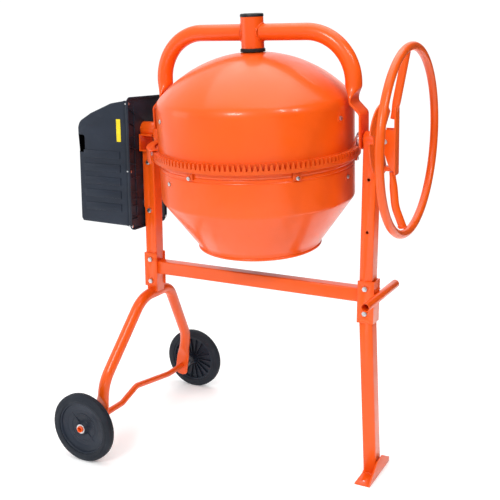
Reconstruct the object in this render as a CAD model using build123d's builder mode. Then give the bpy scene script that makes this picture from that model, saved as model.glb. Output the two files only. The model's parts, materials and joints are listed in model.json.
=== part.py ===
from build123d import *
import math
import os

os.makedirs("parts", exist_ok=True)

# Tip-up concrete mixer, millimetres. +X runs from the motor box to the hand wheel, +Y away from
# the user and +Z up. The row's origin is on the ground, under the middle of the machine.

# ---- driving dimensions ----
DRUM_X = 62.5            # drum axis, to the right of the middle of the footprint
TILT_Z = 1008.0          # tilt axis above the ground
REST_TILT = 4.65         # degrees that the drum's top leans towards the user
PLAY = 0.3               # gap between curved faces that only lie side by side
SHAFT_PLAY = 0.05        # radial running clearance

DRUM_R = 293.0           # outside of the drum's cylinder
SHEET = 2.4              # drum sheet thickness
DOME_START = 89.1        # heights on the drum are measured from the tilt axis
KNUCKLE_R = 43.7
CROWN_R = 383.2
CROWN_CENTRE = -141.3
DOME_HOLE_R = 13.0
SEAM_H = -73.0
KINK_H = -180.4
CONE_END_H = -323.6
MOUTH_H = -338.0
MOUTH_R = 186.0
BEAD_R = 4.6

RING_TEETH = 132
PINION_TEETH = 14
GEAR_MODULE = 4.6
PINION_PITCH_R = PINION_TEETH * GEAR_MODULE / 2
RING_OUT_R = 311.0
RING_TOP_H = -28.5
RING_ROOT_H = -46.0
RING_BOTTOM_H = -57.0
LARGE_PULLEY_R = 75.6
SMALL_PULLEY_R = 8.4     # nine to one on the belt

YOKE_TUBE_R = 24.0
YOKE_TOP_H = 296.6
YOKE_ARM_X = 308.0       # centre line of the tube's straight legs
YOKE_BEND_R = 140.0
STRIP_W, STRIP_T = 72.0, 6.0
STRIP_HIGH_X = 309.0     # middle of the flattened leg above the jog
STRIP_LOW_X = 338.0      # and below it
BOSS_R = 33.5
DRUM_SHAFT_R = 12.5

LEFT_POST_X = -375.0     # x of every frame part is measured from the drum's axis
RIGHT_POST_X = 363.5
POST_W, POST_D, POST_WALL = 40.0, 44.0, 2.5
LEFT_POST_TOP = 941.0
BEAM_BOTTOM, BEAM_TOP = 538.0, 580.0
BOLT_R = 5.0
BOLT_HOLE_R = 5.2
HANDLE_Z, HANDLE_R, HANDLE_HALF = 562.0, 12.5, 136.0

ROAD_WHEEL_R = 110.0
ROAD_WHEEL_X = -434.0
ROAD_WHEEL_Y = 334.0     # middle of the tyre
TYRE_W = 32.0
AXLE_R = 10.0
AXLE_HALF = 355.0
FRAME_TUBE_R = 18.0
FRAME_BAR_Z = 470.0
FRAME_LEG_Y = 245.0

RIM_X = 469.0            # plane of the hand wheel's rim
RIM_R, RIM_TUBE_R = 255.1, 11.8
HUB_WEB_X = 431.0
HUB_PIN_X = 405.0
HUB_HALF = 17.5

BOX_Y = 10.5             # middle of the motor box
BOX_FACE_X = -401.0      # inner shell's face, towards the drum
BOX_W, BOX_BOTTOM, BOX_TOP = 207.0, 691.5, 1113.0
COVER_W = 187.0
BOX_LEFT = -606.0
MOTOR_Z, MOTOR_R = 800.0, 62.0
PULLEY_X = -417.0

# ---- planes ----
# Fixed planes stand on the ground under the drum's axis. SIDE is seen from the front, its y is the
# height; END is seen from the hand wheel's side, its x is +Y and its y is the height.
GROUND = Plane((DRUM_X, 0, 0))
SIDE = Plane((DRUM_X, 0, 0), x_dir=(1, 0, 0), z_dir=(0, -1, 0))
END = Plane((DRUM_X, 0, 0), x_dir=(0, 1, 0), z_dir=(1, 0, 0))
# The same three, turned with the drum and with their origin on the tilt axis.
TILT = Plane((DRUM_X, 0, TILT_Z)).rotated((REST_TILT, 0, 0))
TILT_SIDE = Plane(TILT.origin, x_dir=TILT.x_dir, z_dir=-TILT.y_dir)
TILT_END = Plane(TILT.origin, x_dir=TILT.y_dir, z_dir=TILT.x_dir)
DRUM_AXIS = Axis(TILT.origin, TILT.z_dir)
# Axis planes that share the tilt axis but do not turn: local z is +X.
TRUNNION = Plane((DRUM_X, 0, TILT_Z), x_dir=(0, 1, 0), z_dir=(1, 0, 0))


def ring_solid(plane, outer, inner, length):
    """A round sleeve or washer that starts on a plane."""
    with BuildPart() as sleeve:
        with BuildSketch(plane):
            Circle(outer)
            Circle(inner, mode=Mode.SUBTRACT)
        extrude(amount=length)
    return sleeve.part


def bolt_along(plane, length, radius=BOLT_R, head_r=8.5, head_h=6.0, nut=True):
    """A hex bolt whose head sits on a plane; its shank runs back through the joint to a nut."""
    with BuildPart() as bolt:
        with BuildSketch(plane):
            Circle(radius)
        extrude(amount=-length)
        with BuildSketch(plane):
            RegularPolygon(head_r, 6)
        extrude(amount=head_h, taper=4)
        if nut:
            with BuildSketch(plane.offset(-length + 2 * head_h)):
                RegularPolygon(head_r, 6)
            extrude(amount=-head_h)
    return bolt.part


def on_drum(azimuth, radius, height):
    """The plane that faces straight out of the drum's wall at an azimuth and a height."""
    turn = TILT * Pos(0, 0, height) * Rotation(0, 0, azimuth) * Pos(radius, 0, 0) * Rotation(0, 90, 0)
    return Plane(turn)


# =====================================================================================
# Frame: posts, beam, leg and foot
# =====================================================================================
def post_profile(width, depth, wall):
    RectangleRounded(width, depth, 4)
    RectangleRounded(width - 2 * wall, depth - 2 * wall, 1.8, mode=Mode.SUBTRACT)


def cross_holes(spots, radius=BOLT_HOLE_R):
    """Round holes from front to back through whatever is being built."""
    with BuildSketch(SIDE) as holes:
        with Locations(*spots):
            Circle(radius)
    extrude(holes.sketch, amount=POST_D, both=True, mode=Mode.SUBTRACT)


LEFT_BOLTS = [(LEFT_POST_X, 905.0), (LEFT_POST_X, 749.0)]
LEFT_BRACKET_BOLTS = [(LEFT_POST_X, 586.0), (LEFT_POST_X, 513.0)]
RIGHT_BRACKET_BOLTS = [(RIGHT_POST_X, 582.0), (RIGHT_POST_X + 0.8, 508.0)]
POST_SPLIT_Z = 532.0
FRAME_LEAN = math.degrees(math.atan(59.0 / 371.0))
FRAME_BAR_X = -376.6

with BuildPart() as left_post:
    with BuildSketch(GROUND.offset(476)):
        with Locations((LEFT_POST_X, 0)):
            post_profile(POST_W, POST_D, POST_WALL)
    extrude(amount=LEFT_POST_TOP - 476)
    cross_holes(LEFT_BOLTS + LEFT_BRACKET_BOLTS)
    with BuildSketch(SIDE):
        with Locations((FRAME_BAR_X, FRAME_BAR_Z)):
            Circle(FRAME_TUBE_R + 0.05)
    extrude(amount=POST_D, both=True, mode=Mode.SUBTRACT)
left_post.part.label = "left_post"
export_step(left_post.part, "parts/left_post.step")

RIGHT_HOLES = [(RIGHT_POST_X, 898.0), (RIGHT_POST_X, 747.0)]
RIGHT_HOUSING_R = 24.0

with BuildPart() as right_post:
    with BuildSketch(GROUND.offset(POST_SPLIT_Z)):
        with Locations((RIGHT_POST_X, 0)):
            post_profile(POST_W, POST_D, POST_WALL)
    extrude(amount=TILT_Z - POST_SPLIT_Z)
    cross_holes(RIGHT_BRACKET_BOLTS[:1])
    cross_holes(RIGHT_HOLES, 4.5)
    with BuildSketch(TRUNNION):
        with Locations((0, 0)):
            Circle(RIGHT_HOUSING_R + 0.05)
    extrude(amount=RIGHT_POST_X + POST_W, mode=Mode.SUBTRACT)
right_post.part.label = "right_post"
export_step(right_post.part, "parts/right_post.step")

# The lower leg leans outwards, so its sections are drawn across a leaning axis and cut off level.
LEG_LEAN = 3.33
LEG_TOP_X = RIGHT_POST_X + 0.3
LEG_AXIS = Plane((DRUM_X + LEG_TOP_X, 0, 520)).rotated((0, -LEG_LEAN, 0))
FOOT_T = 4.0

with BuildPart() as leg:
    with BuildSketch(LEG_AXIS.offset(40)):
        post_profile(POST_W, POST_D, POST_WALL)
    extrude(amount=-600)
    split(bisect_by=GROUND.offset(FOOT_T), keep=Keep.TOP)
    split(bisect_by=GROUND.offset(POST_SPLIT_Z - 2), keep=Keep.BOTTOM)
    cross_holes(RIGHT_BRACKET_BOLTS[1:])
leg.part.label = "leg"
export_step(leg.part, "parts/leg.step")

FOOT_X = 394.7
FOOT_W = 47.0
FOOT_FRONT, FOOT_BACK = -92.0, 93.0
ANCHOR_Y = 66.0

with BuildPart() as foot:
    with BuildSketch(GROUND):
        with Locations((FOOT_X, (FOOT_FRONT + FOOT_BACK) / 2)):
            Rectangle(FOOT_W, FOOT_BACK - FOOT_FRONT)
        with Locations((FOOT_X - 4, -ANCHOR_Y), (FOOT_X - 4, ANCHOR_Y)):
            Circle(5.5, mode=Mode.SUBTRACT)
    extrude(amount=FOOT_T)
    with BuildSketch(END.offset(FOOT_X + FOOT_W / 2 - FOOT_T)):
        with BuildLine():
            Polyline((FOOT_FRONT, 0), (FOOT_FRONT, 6), (-24, 50), (26, 50), (62, 30), (FOOT_BACK, 14),
                     (FOOT_BACK, 0), (FOOT_FRONT, 0))
        make_face()
    extrude(amount=FOOT_T)
foot.part.label = "foot"
export_step(foot.part, "parts/foot.step")

with BuildPart() as cross_beam:
    with BuildSketch(END.offset(LEFT_POST_X + POST_W / 2)):
        with Locations((0, (BEAM_BOTTOM + BEAM_TOP) / 2)):
            RectangleRounded(40, BEAM_TOP - BEAM_BOTTOM, 4)
            RectangleRounded(35, BEAM_TOP - BEAM_BOTTOM - 5, 1.8, mode=Mode.SUBTRACT)
    extrude(amount=RIGHT_POST_X - LEFT_POST_X - POST_W)
cross_beam.part.label = "cross_beam"
export_step(cross_beam.part, "parts/cross_beam.step")


def beam_bracket(post_x, side, web_gap, low, high, bolts):
    """A folded plate that wraps a post from its outer side and holds the beam's end."""
    web = post_x + side * (POST_W / 2 + web_gap)
    lip = post_x - side * (POST_W / 2 + 3)
    with BuildPart() as bracket:
        with BuildSketch(GROUND.offset(low)):
            with Locations(((web + side * 4 + lip) / 2, 0)):
                Rectangle(abs(web + side * 4 - lip), POST_D + 8)
            with Locations(((web + lip) / 2 - side * 5, 0)):
                Rectangle(abs(web - lip) + 10, POST_D, mode=Mode.SUBTRACT)
        extrude(amount=high - low)
        cross_holes(bolts)
    return bracket.part


left_bracket_part = beam_bracket(LEFT_POST_X, -1, 0.0, 495.0, 607.0, LEFT_BRACKET_BOLTS)
left_bracket_part.label = "left_beam_bracket"
export_step(left_bracket_part, "parts/left_beam_bracket.step")

right_bracket_part = beam_bracket(RIGHT_POST_X, 1, 3.2, 478.0, 604.0, RIGHT_BRACKET_BOLTS)
right_bracket_part.label = "right_beam_bracket"
export_step(right_bracket_part, "parts/right_beam_bracket.step")

HANDLE_X = RIGHT_POST_X + POST_W / 2 + 3.2 + 4 + HANDLE_R

with BuildPart() as lift_handle:
    with BuildSketch(SIDE.offset(-HANDLE_HALF)):
        with Locations((HANDLE_X, HANDLE_Z)):
            Circle(HANDLE_R)
            Circle(HANDLE_R - 2, mode=Mode.SUBTRACT)
    extrude(amount=2 * HANDLE_HALF)
lift_handle.part.label = "lift_handle"
export_step(lift_handle.part, "parts/lift_handle.step")

# Through bolts: plain ones through the left post, longer ones through the brackets as well.
frame_bolt_solids = []
for x, z in LEFT_BOLTS:
    frame_bolt_solids.append(bolt_along(Plane(SIDE.offset(POST_D / 2) * Pos(x, z, 0)), POST_D + 12))
for x, z in LEFT_BRACKET_BOLTS + RIGHT_BRACKET_BOLTS:
    frame_bolt_solids.append(bolt_along(Plane(SIDE.offset(POST_D / 2 + 4) * Pos(x, z, 0)), POST_D + 20))
frame_bolts = Compound(children=frame_bolt_solids)
frame_bolts.label = "frame_bolts"
export_step(frame_bolts, "parts/frame_bolts.step")

# =====================================================================================
# Wheel frame, axle and road wheels
# =====================================================================================
# The wheel frame is one bent tube in a plane that leans outwards; its local y runs up the lean.
FRAME = Plane(
    (DRUM_X + FRAME_BAR_X, 0, FRAME_BAR_Z), x_dir=(0, 1, 0),
    z_dir=(math.cos(math.radians(FRAME_LEAN)), 0, -math.sin(math.radians(FRAME_LEAN))),
)
BAR_HALF = 79.0
KNUCKLE_S = -240.0
ROUND_END_S = -285.0
FLAT_START_S = -328.0
FLAT_END_S = -398.0
FLAT_W, FLAT_T = 48.0, 7.0
AXLE_S = -(FRAME_BAR_Z - ROAD_WHEEL_R) / math.cos(math.radians(FRAME_LEAN))


def frame_section(y, s):
    """A plane across the frame's leg, facing down it, with its local x out of the frame's plane."""
    return Plane(FRAME.from_local_coords((y, s, 0)), x_dir=FRAME.z_dir, z_dir=-FRAME.y_dir)


with BuildPart() as wheel_frame:
    with BuildLine(FRAME) as frame_route:
        FilletPolyline(
            (-FRAME_LEG_Y, ROUND_END_S), (-FRAME_LEG_Y, KNUCKLE_S), (-BAR_HALF, 0),
            (BAR_HALF, 0), (FRAME_LEG_Y, KNUCKLE_S), (FRAME_LEG_Y, ROUND_END_S), radius=[110, 88, 88, 110],
        )
    with BuildSketch(frame_section(-FRAME_LEG_Y, ROUND_END_S)):
        Circle(FRAME_TUBE_R)
        Circle(FRAME_TUBE_R - 2, mode=Mode.SUBTRACT)
    sweep(path=frame_route.wires()[0])
    for leg_y in (-FRAME_LEG_Y, FRAME_LEG_Y):
        with BuildSketch(frame_section(leg_y, ROUND_END_S)):
            Circle(FRAME_TUBE_R)
        with BuildSketch(frame_section(leg_y, FLAT_START_S)):
            SlotOverall(FLAT_W, FLAT_T)
        loft()
        with BuildSketch(frame_section(leg_y, FLAT_START_S)):
            SlotOverall(FLAT_W, FLAT_T)
        extrude(amount=FLAT_START_S - FLAT_END_S)
    with BuildSketch(SIDE):
        with Locations((ROAD_WHEEL_X, ROAD_WHEEL_R)):
            Circle(AXLE_R)
    extrude(amount=FRAME_LEG_Y + 20, both=True, mode=Mode.SUBTRACT)
wheel_frame.part.label = "wheel_frame"
export_step(wheel_frame.part, "parts/wheel_frame.step")

AXLE_PLANE = END.offset(ROAD_WHEEL_X)

with BuildPart() as axle:
    with BuildLine(AXLE_PLANE) as axle_route:
        FilletPolyline(
            (-AXLE_HALF, ROAD_WHEEL_R), (-133, ROAD_WHEEL_R), (-48, ROAD_WHEEL_R + 29),
            (150, ROAD_WHEEL_R), (AXLE_HALF, ROAD_WHEEL_R), radius=[35, 45, 120],
        )
    with BuildSketch(Plane(SIDE.offset(AXLE_HALF) * Pos(ROAD_WHEEL_X, ROAD_WHEEL_R, 0))):
        Circle(AXLE_R - 0.02)
        Circle(AXLE_R - 3, mode=Mode.SUBTRACT)
    sweep(path=axle_route.wires()[0])
axle.part.label = "axle"
export_step(axle.part, "parts/axle.step")

DISC_R = 84.0
HUB_R = 17.0
HUB_INNER_Y, HUB_OUTER_Y = -30.0, 14.0     # measured outwards from the middle of the tyre


def wheel_disc(side):
    """A dished disc with a long hub; side is -1 for the front wheel and 1 for the rear one."""
    rim = TYRE_W / 2 - 4
    section = [
        (HUB_INNER_Y, AXLE_R + SHAFT_PLAY), (HUB_INNER_Y, HUB_R), (-6, HUB_R + 3), (-2, 58), (-2, 76),
        (-rim, 78), (-rim, DISC_R), (rim, DISC_R), (rim, 79), (4, 75), (4, 60), (0, HUB_R + 3),
        (HUB_OUTER_Y, HUB_R), (HUB_OUTER_Y, AXLE_R + SHAFT_PLAY), (HUB_INNER_Y, AXLE_R + SHAFT_PLAY),
    ]
    with BuildPart() as disc:
        with BuildSketch(Plane((DRUM_X + ROAD_WHEEL_X, side * ROAD_WHEEL_Y, ROAD_WHEEL_R), x_dir=(0, 1, 0),
                               z_dir=(1, 0, 0))):
            with BuildLine():
                Polyline([(side * out, radius) for out, radius in section])
            make_face()
        revolve(axis=Axis((DRUM_X + ROAD_WHEEL_X, 0, ROAD_WHEEL_R), (0, 1, 0)))
    return disc.part


def tyre(side):
    """A solid tyre with rounded shoulders, seated on the disc's rim."""
    with BuildPart() as rubber:
        with BuildSketch(Plane((DRUM_X + ROAD_WHEEL_X, side * ROAD_WHEEL_Y, ROAD_WHEEL_R), x_dir=(0, 1, 0),
                               z_dir=(1, 0, 0))) as section:
            with Locations((0, (ROAD_WHEEL_R + DISC_R) / 2)):
                Rectangle(TYRE_W, ROAD_WHEEL_R - DISC_R)
            fillet(section.vertices().group_by(Axis.Y)[-1], 9)
            fillet(section.vertices().group_by(Axis.Y)[0], 3)
        revolve(axis=Axis((DRUM_X + ROAD_WHEEL_X, 0, ROAD_WHEEL_R), (0, 1, 0)))
    return rubber.part


for name, side in (("front", -1), ("rear", 1)):
    disc_part = wheel_disc(side)
    disc_part.label = f"{name}_wheel_disc"
    export_step(disc_part, f"parts/{name}_wheel_disc.step")
    tyre_part = tyre(side)
    tyre_part.label = f"{name}_tyre"
    export_step(tyre_part, f"parts/{name}_tyre.step")

# Spacer sleeves between the frame's flattened ends and the hubs, and a push-on washer outside each hub.
spacer_solids = []
washer_solids = []
for side in (-1, 1):
    spacer_from = side * (FRAME_LEG_Y + FLAT_T / 2)
    spacer_to = side * (ROAD_WHEEL_Y + HUB_INNER_Y - 0.6)
    washer_from = side * (ROAD_WHEEL_Y + HUB_OUTER_Y + 0.4)
    axle_spot = Pos(ROAD_WHEEL_X, ROAD_WHEEL_R, 0)
    spacer_solids.append(ring_solid(Plane(SIDE.offset(-spacer_from) * axle_spot), 16, AXLE_R, spacer_from - spacer_to))
    washer_solids.append(ring_solid(Plane(SIDE.offset(-washer_from) * axle_spot), 15, AXLE_R, -side * 2))

wheel_spacers = Compound(children=spacer_solids)
wheel_spacers.label = "wheel_spacers"
export_step(wheel_spacers, "parts/wheel_spacers.step")

wheel_washers = Compound(children=washer_solids)
wheel_washers.label = "wheel_washers"
export_step(wheel_washers, "parts/wheel_washers.step")

# =====================================================================================
# Tilt bearings on the posts
# =====================================================================================
LEFT_HOUSING_R = 25.0
TRUNNION_R = 20.0
TRUNNION_BORE_R = 16.0
STRIP_OUT = STRIP_LOW_X + STRIP_T / 2
CRADLE_D = 72.0
CRADLE_T = 4.0
LEFT_POST_OUT = LEFT_POST_X - POST_W / 2
LEFT_POST_IN = LEFT_POST_X + POST_W / 2
HOUSING_LEFT_X = -406.0

# A folded cradle on top of the left post, open to the front, with the bearing housing lying in it.
with BuildPart() as left_cradle:
    with BuildSketch(SIDE.offset(CRADLE_D / 2)):
        with BuildLine():
            Polyline((LEFT_POST_OUT - CRADLE_T, LEFT_POST_TOP), (LEFT_POST_IN + 4, LEFT_POST_TOP),
                     (LEFT_POST_IN + 4, LEFT_POST_TOP + CRADLE_T), (LEFT_POST_OUT, LEFT_POST_TOP + CRADLE_T),
                     (LEFT_POST_OUT, TILT_Z - 17), (LEFT_POST_IN + 4, TILT_Z - 17), (LEFT_POST_IN + 4, TILT_Z - 13),
                     (LEFT_POST_OUT - CRADLE_T, TILT_Z - 13), (LEFT_POST_OUT - CRADLE_T, LEFT_POST_TOP))
        make_face()
    extrude(amount=-CRADLE_D)
    with BuildSketch(TRUNNION.offset(HOUSING_LEFT_X)):
        Circle(LEFT_HOUSING_R)
    extrude(amount=100, mode=Mode.SUBTRACT)
left_cradle.part.label = "left_cradle"
export_step(left_cradle.part, "parts/left_cradle.step")

left_housing = ring_solid(TRUNNION.offset(HOUSING_LEFT_X), LEFT_HOUSING_R, TRUNNION_R + SHAFT_PLAY,
                          LEFT_POST_IN + 9 - HOUSING_LEFT_X)
left_housing.label = "left_bearing_housing"
export_step(left_housing, "parts/left_bearing_housing.step")

RIGHT_POST_IN = RIGHT_POST_X - POST_W / 2
RIGHT_POST_OUT = RIGHT_POST_X + POST_W / 2
LOCK_PLATE_X = RIGHT_POST_OUT + 3.5
RIGHT_SHAFT_R = 12.0

right_housing = ring_solid(TRUNNION.offset(RIGHT_POST_IN), RIGHT_HOUSING_R, RIGHT_SHAFT_R + SHAFT_PLAY,
                           LOCK_PLATE_X - RIGHT_POST_IN)
right_housing.label = "right_bearing_housing"
export_step(right_housing, "parts/right_bearing_housing.step")

# The lock plate: a disc with a missing sector at the back and a notch for each locked position.
LOCK_R = 102.0
LOCK_T = 4.0
NOTCH_W, NOTCH_DEPTH = 22.0, 30.0
LOCK_NOTCHES = [270 + REST_TILT, 170 + REST_TILT]
GAP_FROM, GAP_TO = -57.0, 48.0

with BuildPart() as lock_plate:
    with BuildSketch(TRUNNION.offset(LOCK_PLATE_X)):
        Circle(LOCK_R)
        with BuildLine():
            Line((0, 0), (200 * math.cos(math.radians(GAP_FROM)), 200 * math.sin(math.radians(GAP_FROM))))
            Line((0, 0), (200 * math.cos(math.radians(GAP_TO)), 200 * math.sin(math.radians(GAP_TO))))
            Line((200 * math.cos(math.radians(GAP_FROM)), 200 * math.sin(math.radians(GAP_FROM))),
                 (200 * math.cos(math.radians(GAP_TO)), 200 * math.sin(math.radians(GAP_TO))))
        make_face(mode=Mode.SUBTRACT)
        Circle(RIGHT_HOUSING_R)
        Circle(RIGHT_SHAFT_R + 1.5, mode=Mode.SUBTRACT)
        for angle in LOCK_NOTCHES:
            with PolarLocations(LOCK_R - NOTCH_DEPTH / 2 + 2, 1, start_angle=angle):
                RectangleRounded(NOTCH_DEPTH + 4, NOTCH_W, 4, mode=Mode.SUBTRACT)
    extrude(amount=LOCK_T)
lock_plate.part.label = "lock_plate"
export_step(lock_plate.part, "parts/lock_plate.step")

# =====================================================================================
# Yoke: two arms, the boss over the drum, trunnions and gear guard
# =====================================================================================
JOG_TOP_H, JOG_BOTTOM_H = 102.0, 76.0
FLAT_TOP_H = 112.0
STRIP_END_H = -24.0


def yoke_arm(side):
    """Half of the yoke: bent tube, flattened and jogged outwards below; side is -1 left, 1 right."""
    bend_start = YOKE_TOP_H - YOKE_BEND_R
    with BuildPart() as arm:
        with BuildLine(TILT_SIDE) as route:
            FilletPolyline((0, YOKE_TOP_H), (side * YOKE_ARM_X, YOKE_TOP_H), (side * YOKE_ARM_X, bend_start - 12),
                           radius=YOKE_BEND_R)
        with BuildSketch(Plane(TILT_END * Pos(0, YOKE_TOP_H, 0))):
            Circle(YOKE_TUBE_R)
            Circle(YOKE_TUBE_R - 2.5, mode=Mode.SUBTRACT)
        sweep(path=route.wires()[0])
        with BuildSketch(Plane(TILT * Pos(side * YOKE_ARM_X, 0, bend_start - 12))):
            Circle(YOKE_TUBE_R)
        with BuildSketch(Plane(TILT * Pos(side * STRIP_HIGH_X, 0, FLAT_TOP_H) * Rotation(0, 0, 90))):
            SlotOverall(STRIP_W, STRIP_T)
        loft()
        with BuildSketch(TILT_SIDE.offset(STRIP_W / 2)):
            with BuildLine():
                inner, outer = STRIP_HIGH_X - STRIP_T / 2, STRIP_HIGH_X + STRIP_T / 2
                low_in, low_out = STRIP_LOW_X - STRIP_T / 2, STRIP_LOW_X + STRIP_T / 2
                Polyline((side * inner, FLAT_TOP_H), (side * outer, FLAT_TOP_H), (side * outer, JOG_TOP_H + 2),
                         (side * low_out, JOG_BOTTOM_H + 2), (side * low_out, STRIP_END_H),
                         (side * low_in, STRIP_END_H), (side * low_in, JOG_BOTTOM_H - 2),
                         (side * inner, JOG_TOP_H - 2), (side * inner, FLAT_TOP_H))
            make_face()
        extrude(amount=-STRIP_W)
        with BuildSketch(TILT):
            Circle(BOSS_R)
        extrude(amount=YOKE_TOP_H + 2 * YOKE_TUBE_R, mode=Mode.SUBTRACT)
        with BuildSketch(TILT_END):
            Circle(RIGHT_SHAFT_R if side > 0 else TRUNNION_BORE_R)
        extrude(amount=side * (STRIP_OUT + 10), mode=Mode.SUBTRACT)
    return arm.part


for name, side in (("left", -1), ("right", 1)):
    arm_part = yoke_arm(side)
    arm_part.label = f"yoke_{name}_arm"
    export_step(arm_part, f"parts/yoke_{name}_arm.step")

BOSS_BOTTOM_H, BOSS_TOP_H = 252.0, 341.0
BEARING_R = 24.0
drum_boss = ring_solid(TILT.offset(BOSS_BOTTOM_H), BOSS_R, BEARING_R, BOSS_TOP_H - BOSS_BOTTOM_H)
drum_boss.label = "yoke_boss"
export_step(drum_boss, "parts/yoke_boss.step")

BEARING_W = 15.0
drum_bearing_solids = [
    ring_solid(TILT.offset(height), BEARING_R, DRUM_SHAFT_R + SHAFT_PLAY, BEARING_W)
    for height in (BOSS_BOTTOM_H + 4, BOSS_TOP_H - 40)
]
drum_bearings = Compound(children=drum_bearing_solids)
drum_bearings.label = "drum_bearings"
export_step(drum_bearings, "parts/drum_bearings.step")

with BuildPart() as boss_cap:
    with BuildSketch(TILT.offset(BOSS_TOP_H)):
        Circle(BOSS_R + 0.8)
    extrude(amount=8.5)
    fillet(boss_cap.edges().group_by(DRUM_AXIS)[-1], 3)
    with BuildSketch(TILT.offset(BOSS_TOP_H - 6)):
        Circle(BEARING_R - 0.3)
        Circle(BEARING_R - 4, mode=Mode.SUBTRACT)
    extrude(amount=6)
boss_cap.part.label = "boss_cap"
export_step(boss_cap.part, "parts/boss_cap.step")

with BuildPart() as shaft_seal:
    with BuildSketch(TILT.offset(242.4)):
        Circle(36.9)
        Circle(BEARING_R + 3, mode=Mode.SUBTRACT)
    extrude(amount=BOSS_BOTTOM_H - 242.4)
    fillet(shaft_seal.edges().group_by(DRUM_AXIS)[-1].sort_by(SortBy.RADIUS)[-1], 3)
shaft_seal.part.label = "shaft_seal"
export_step(shaft_seal.part, "parts/shaft_seal.step")

left_trunnion = ring_solid(TILT_END.offset(-STRIP_OUT), TRUNNION_R, TRUNNION_BORE_R, HOUSING_LEFT_X + STRIP_OUT)
left_trunnion.label = "left_trunnion"
export_step(left_trunnion, "parts/left_trunnion.step")

PINION_SHAFT_R = 7.5
pinion_bearing_solids = [
    ring_solid(TILT_END.offset(x), TRUNNION_BORE_R, PINION_SHAFT_R + SHAFT_PLAY, 9) for x in (-350.0, HOUSING_LEFT_X)
]
pinion_bearings = Compound(children=pinion_bearing_solids)
pinion_bearings.label = "pinion_bearings"
export_step(pinion_bearings, "parts/pinion_bearings.step")

with BuildPart() as right_trunnion:
    with BuildSketch(TILT_END.offset(STRIP_LOW_X - STRIP_T / 2)):
        Circle(RIGHT_SHAFT_R)
    extrude(amount=HUB_PIN_X + 11 - STRIP_LOW_X + STRIP_T / 2)
    with BuildSketch(TILT_END.offset(STRIP_LOW_X - STRIP_T / 2)):
        Circle(20)
    extrude(amount=-14)
    with BuildSketch(Plane(TILT_SIDE * Pos(HUB_PIN_X, 0, 0))):
        Circle(4)
    extrude(amount=40, both=True, mode=Mode.SUBTRACT)
right_trunnion.part.label = "right_trunnion"
export_step(right_trunnion.part, "parts/right_trunnion.step")

# Gear guard: an angle section from the left arm round to the front, where it closes in on the ring gear.
GUARD_CENTRE_X, GUARD_CENTRE_Y = -101.7, -40.6
GUARD_OUT = 221.5
GUARD_T, GUARD_TOP_W = 3.0, 25.0
GUARD_FROM, GUARD_TO = 180.5, 231.0

with BuildPart() as gear_guard:
    guard_middle = Plane(TILT * Pos(GUARD_CENTRE_X, GUARD_CENTRE_Y, 0))
    with BuildSketch(Plane(guard_middle * Rotation(0, 0, GUARD_FROM) * Rotation(90, 0, 0))):
        with BuildLine():
            Polyline((GUARD_OUT - GUARD_T, -62), (GUARD_OUT, -62), (GUARD_OUT, -22),
                     (GUARD_OUT - GUARD_TOP_W, -22), (GUARD_OUT - GUARD_TOP_W, -22 - GUARD_T),
                     (GUARD_OUT - GUARD_T, -22 - GUARD_T), (GUARD_OUT - GUARD_T, -62))
        make_face()
    revolve(axis=Axis(guard_middle.origin, guard_middle.z_dir), revolution_arc=GUARD_TO - GUARD_FROM)
    with BuildSketch(Plane(TILT * Pos(-327.5, -STRIP_W / 2 - 3, -26) * Rotation(90, 0, 0))):
        Rectangle(27, 72)
    extrude(amount=3, both=True)
gear_guard.part.label = "gear_guard"
export_step(gear_guard.part, "parts/gear_guard.step")

PIN_HEAD_FROM = HUB_HALF + 0.7

with BuildPart() as hub_pin:
    with BuildSketch(Plane(TILT_SIDE * Pos(HUB_PIN_X, 0, 0))):
        Circle(4)
    extrude(amount=PIN_HEAD_FROM + 1, both=True)
    for head_from, head_h in ((PIN_HEAD_FROM, 3), (-PIN_HEAD_FROM, -3)):
        with BuildSketch(Plane(TILT_SIDE.offset(head_from) * Pos(HUB_PIN_X, 0, 0))) as head:
            Circle(7)
        extrude(head.sketch, amount=head_h)
hub_pin.part.label = "hub_pin"
export_step(hub_pin.part, "parts/hub_pin.step")

# =====================================================================================
# Drum: two shells, ring gear, shaft, blades and their bolts
# =====================================================================================
BLADE_AZIMUTHS = [-6.0, 114.0, 234.0]
BLADE_BOLT_SHIFT = 4.0
BLADE_UPPER_H, BLADE_LOWER_H = 66.0, -107.0
LUG_AZIMUTHS = [-102.0 + 60.0 * index for index in range(6)]
LUG_OUT_R = 300.0
LUG_BOLT_H = -75.0
DRUM_BOLT_R = 3.0
UPPER_BOLTS = [(azimuth - BLADE_BOLT_SHIFT, BLADE_UPPER_H) for azimuth in BLADE_AZIMUTHS]
LOWER_BOLTS = [(azimuth + BLADE_BOLT_SHIFT, BLADE_LOWER_H) for azimuth in BLADE_AZIMUTHS]
LUG_BOLTS = [(azimuth, LUG_BOLT_H) for azimuth in LUG_AZIMUTHS]
DRUM_SECTION = Plane(TILT * Rotation(90, 0, 0))     # local x is the radius, local y the height


def crown_height(radius, sheet):
    """Height of the dome's crown at a radius, sheet being the distance below its outer face."""
    return CROWN_CENTRE + math.sqrt((CROWN_R - sheet) ** 2 - radius**2)


def radial_cut(spots):
    """Bolt holes straight through the drum's wall."""
    for azimuth, height in spots:
        with BuildSketch(on_drum(azimuth, DRUM_R + 20, height)) as hole:
            Circle(DRUM_BOLT_R + 0.1)
        extrude(hole.sketch, amount=-40, mode=Mode.SUBTRACT)


knuckle_x = DRUM_R - KNUCKLE_R
knuckle_turn = math.atan2(knuckle_x, DOME_START - CROWN_CENTRE)


def knuckle_point(radius, turn):
    return (knuckle_x + radius * math.sin(turn), DOME_START + radius * math.cos(turn))


middle_turn = (knuckle_turn + math.pi / 2) / 2
crown_mid = knuckle_turn / 2
inner_crown_r = CROWN_R - SHEET
inner_knuckle_r = KNUCKLE_R - SHEET

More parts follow.
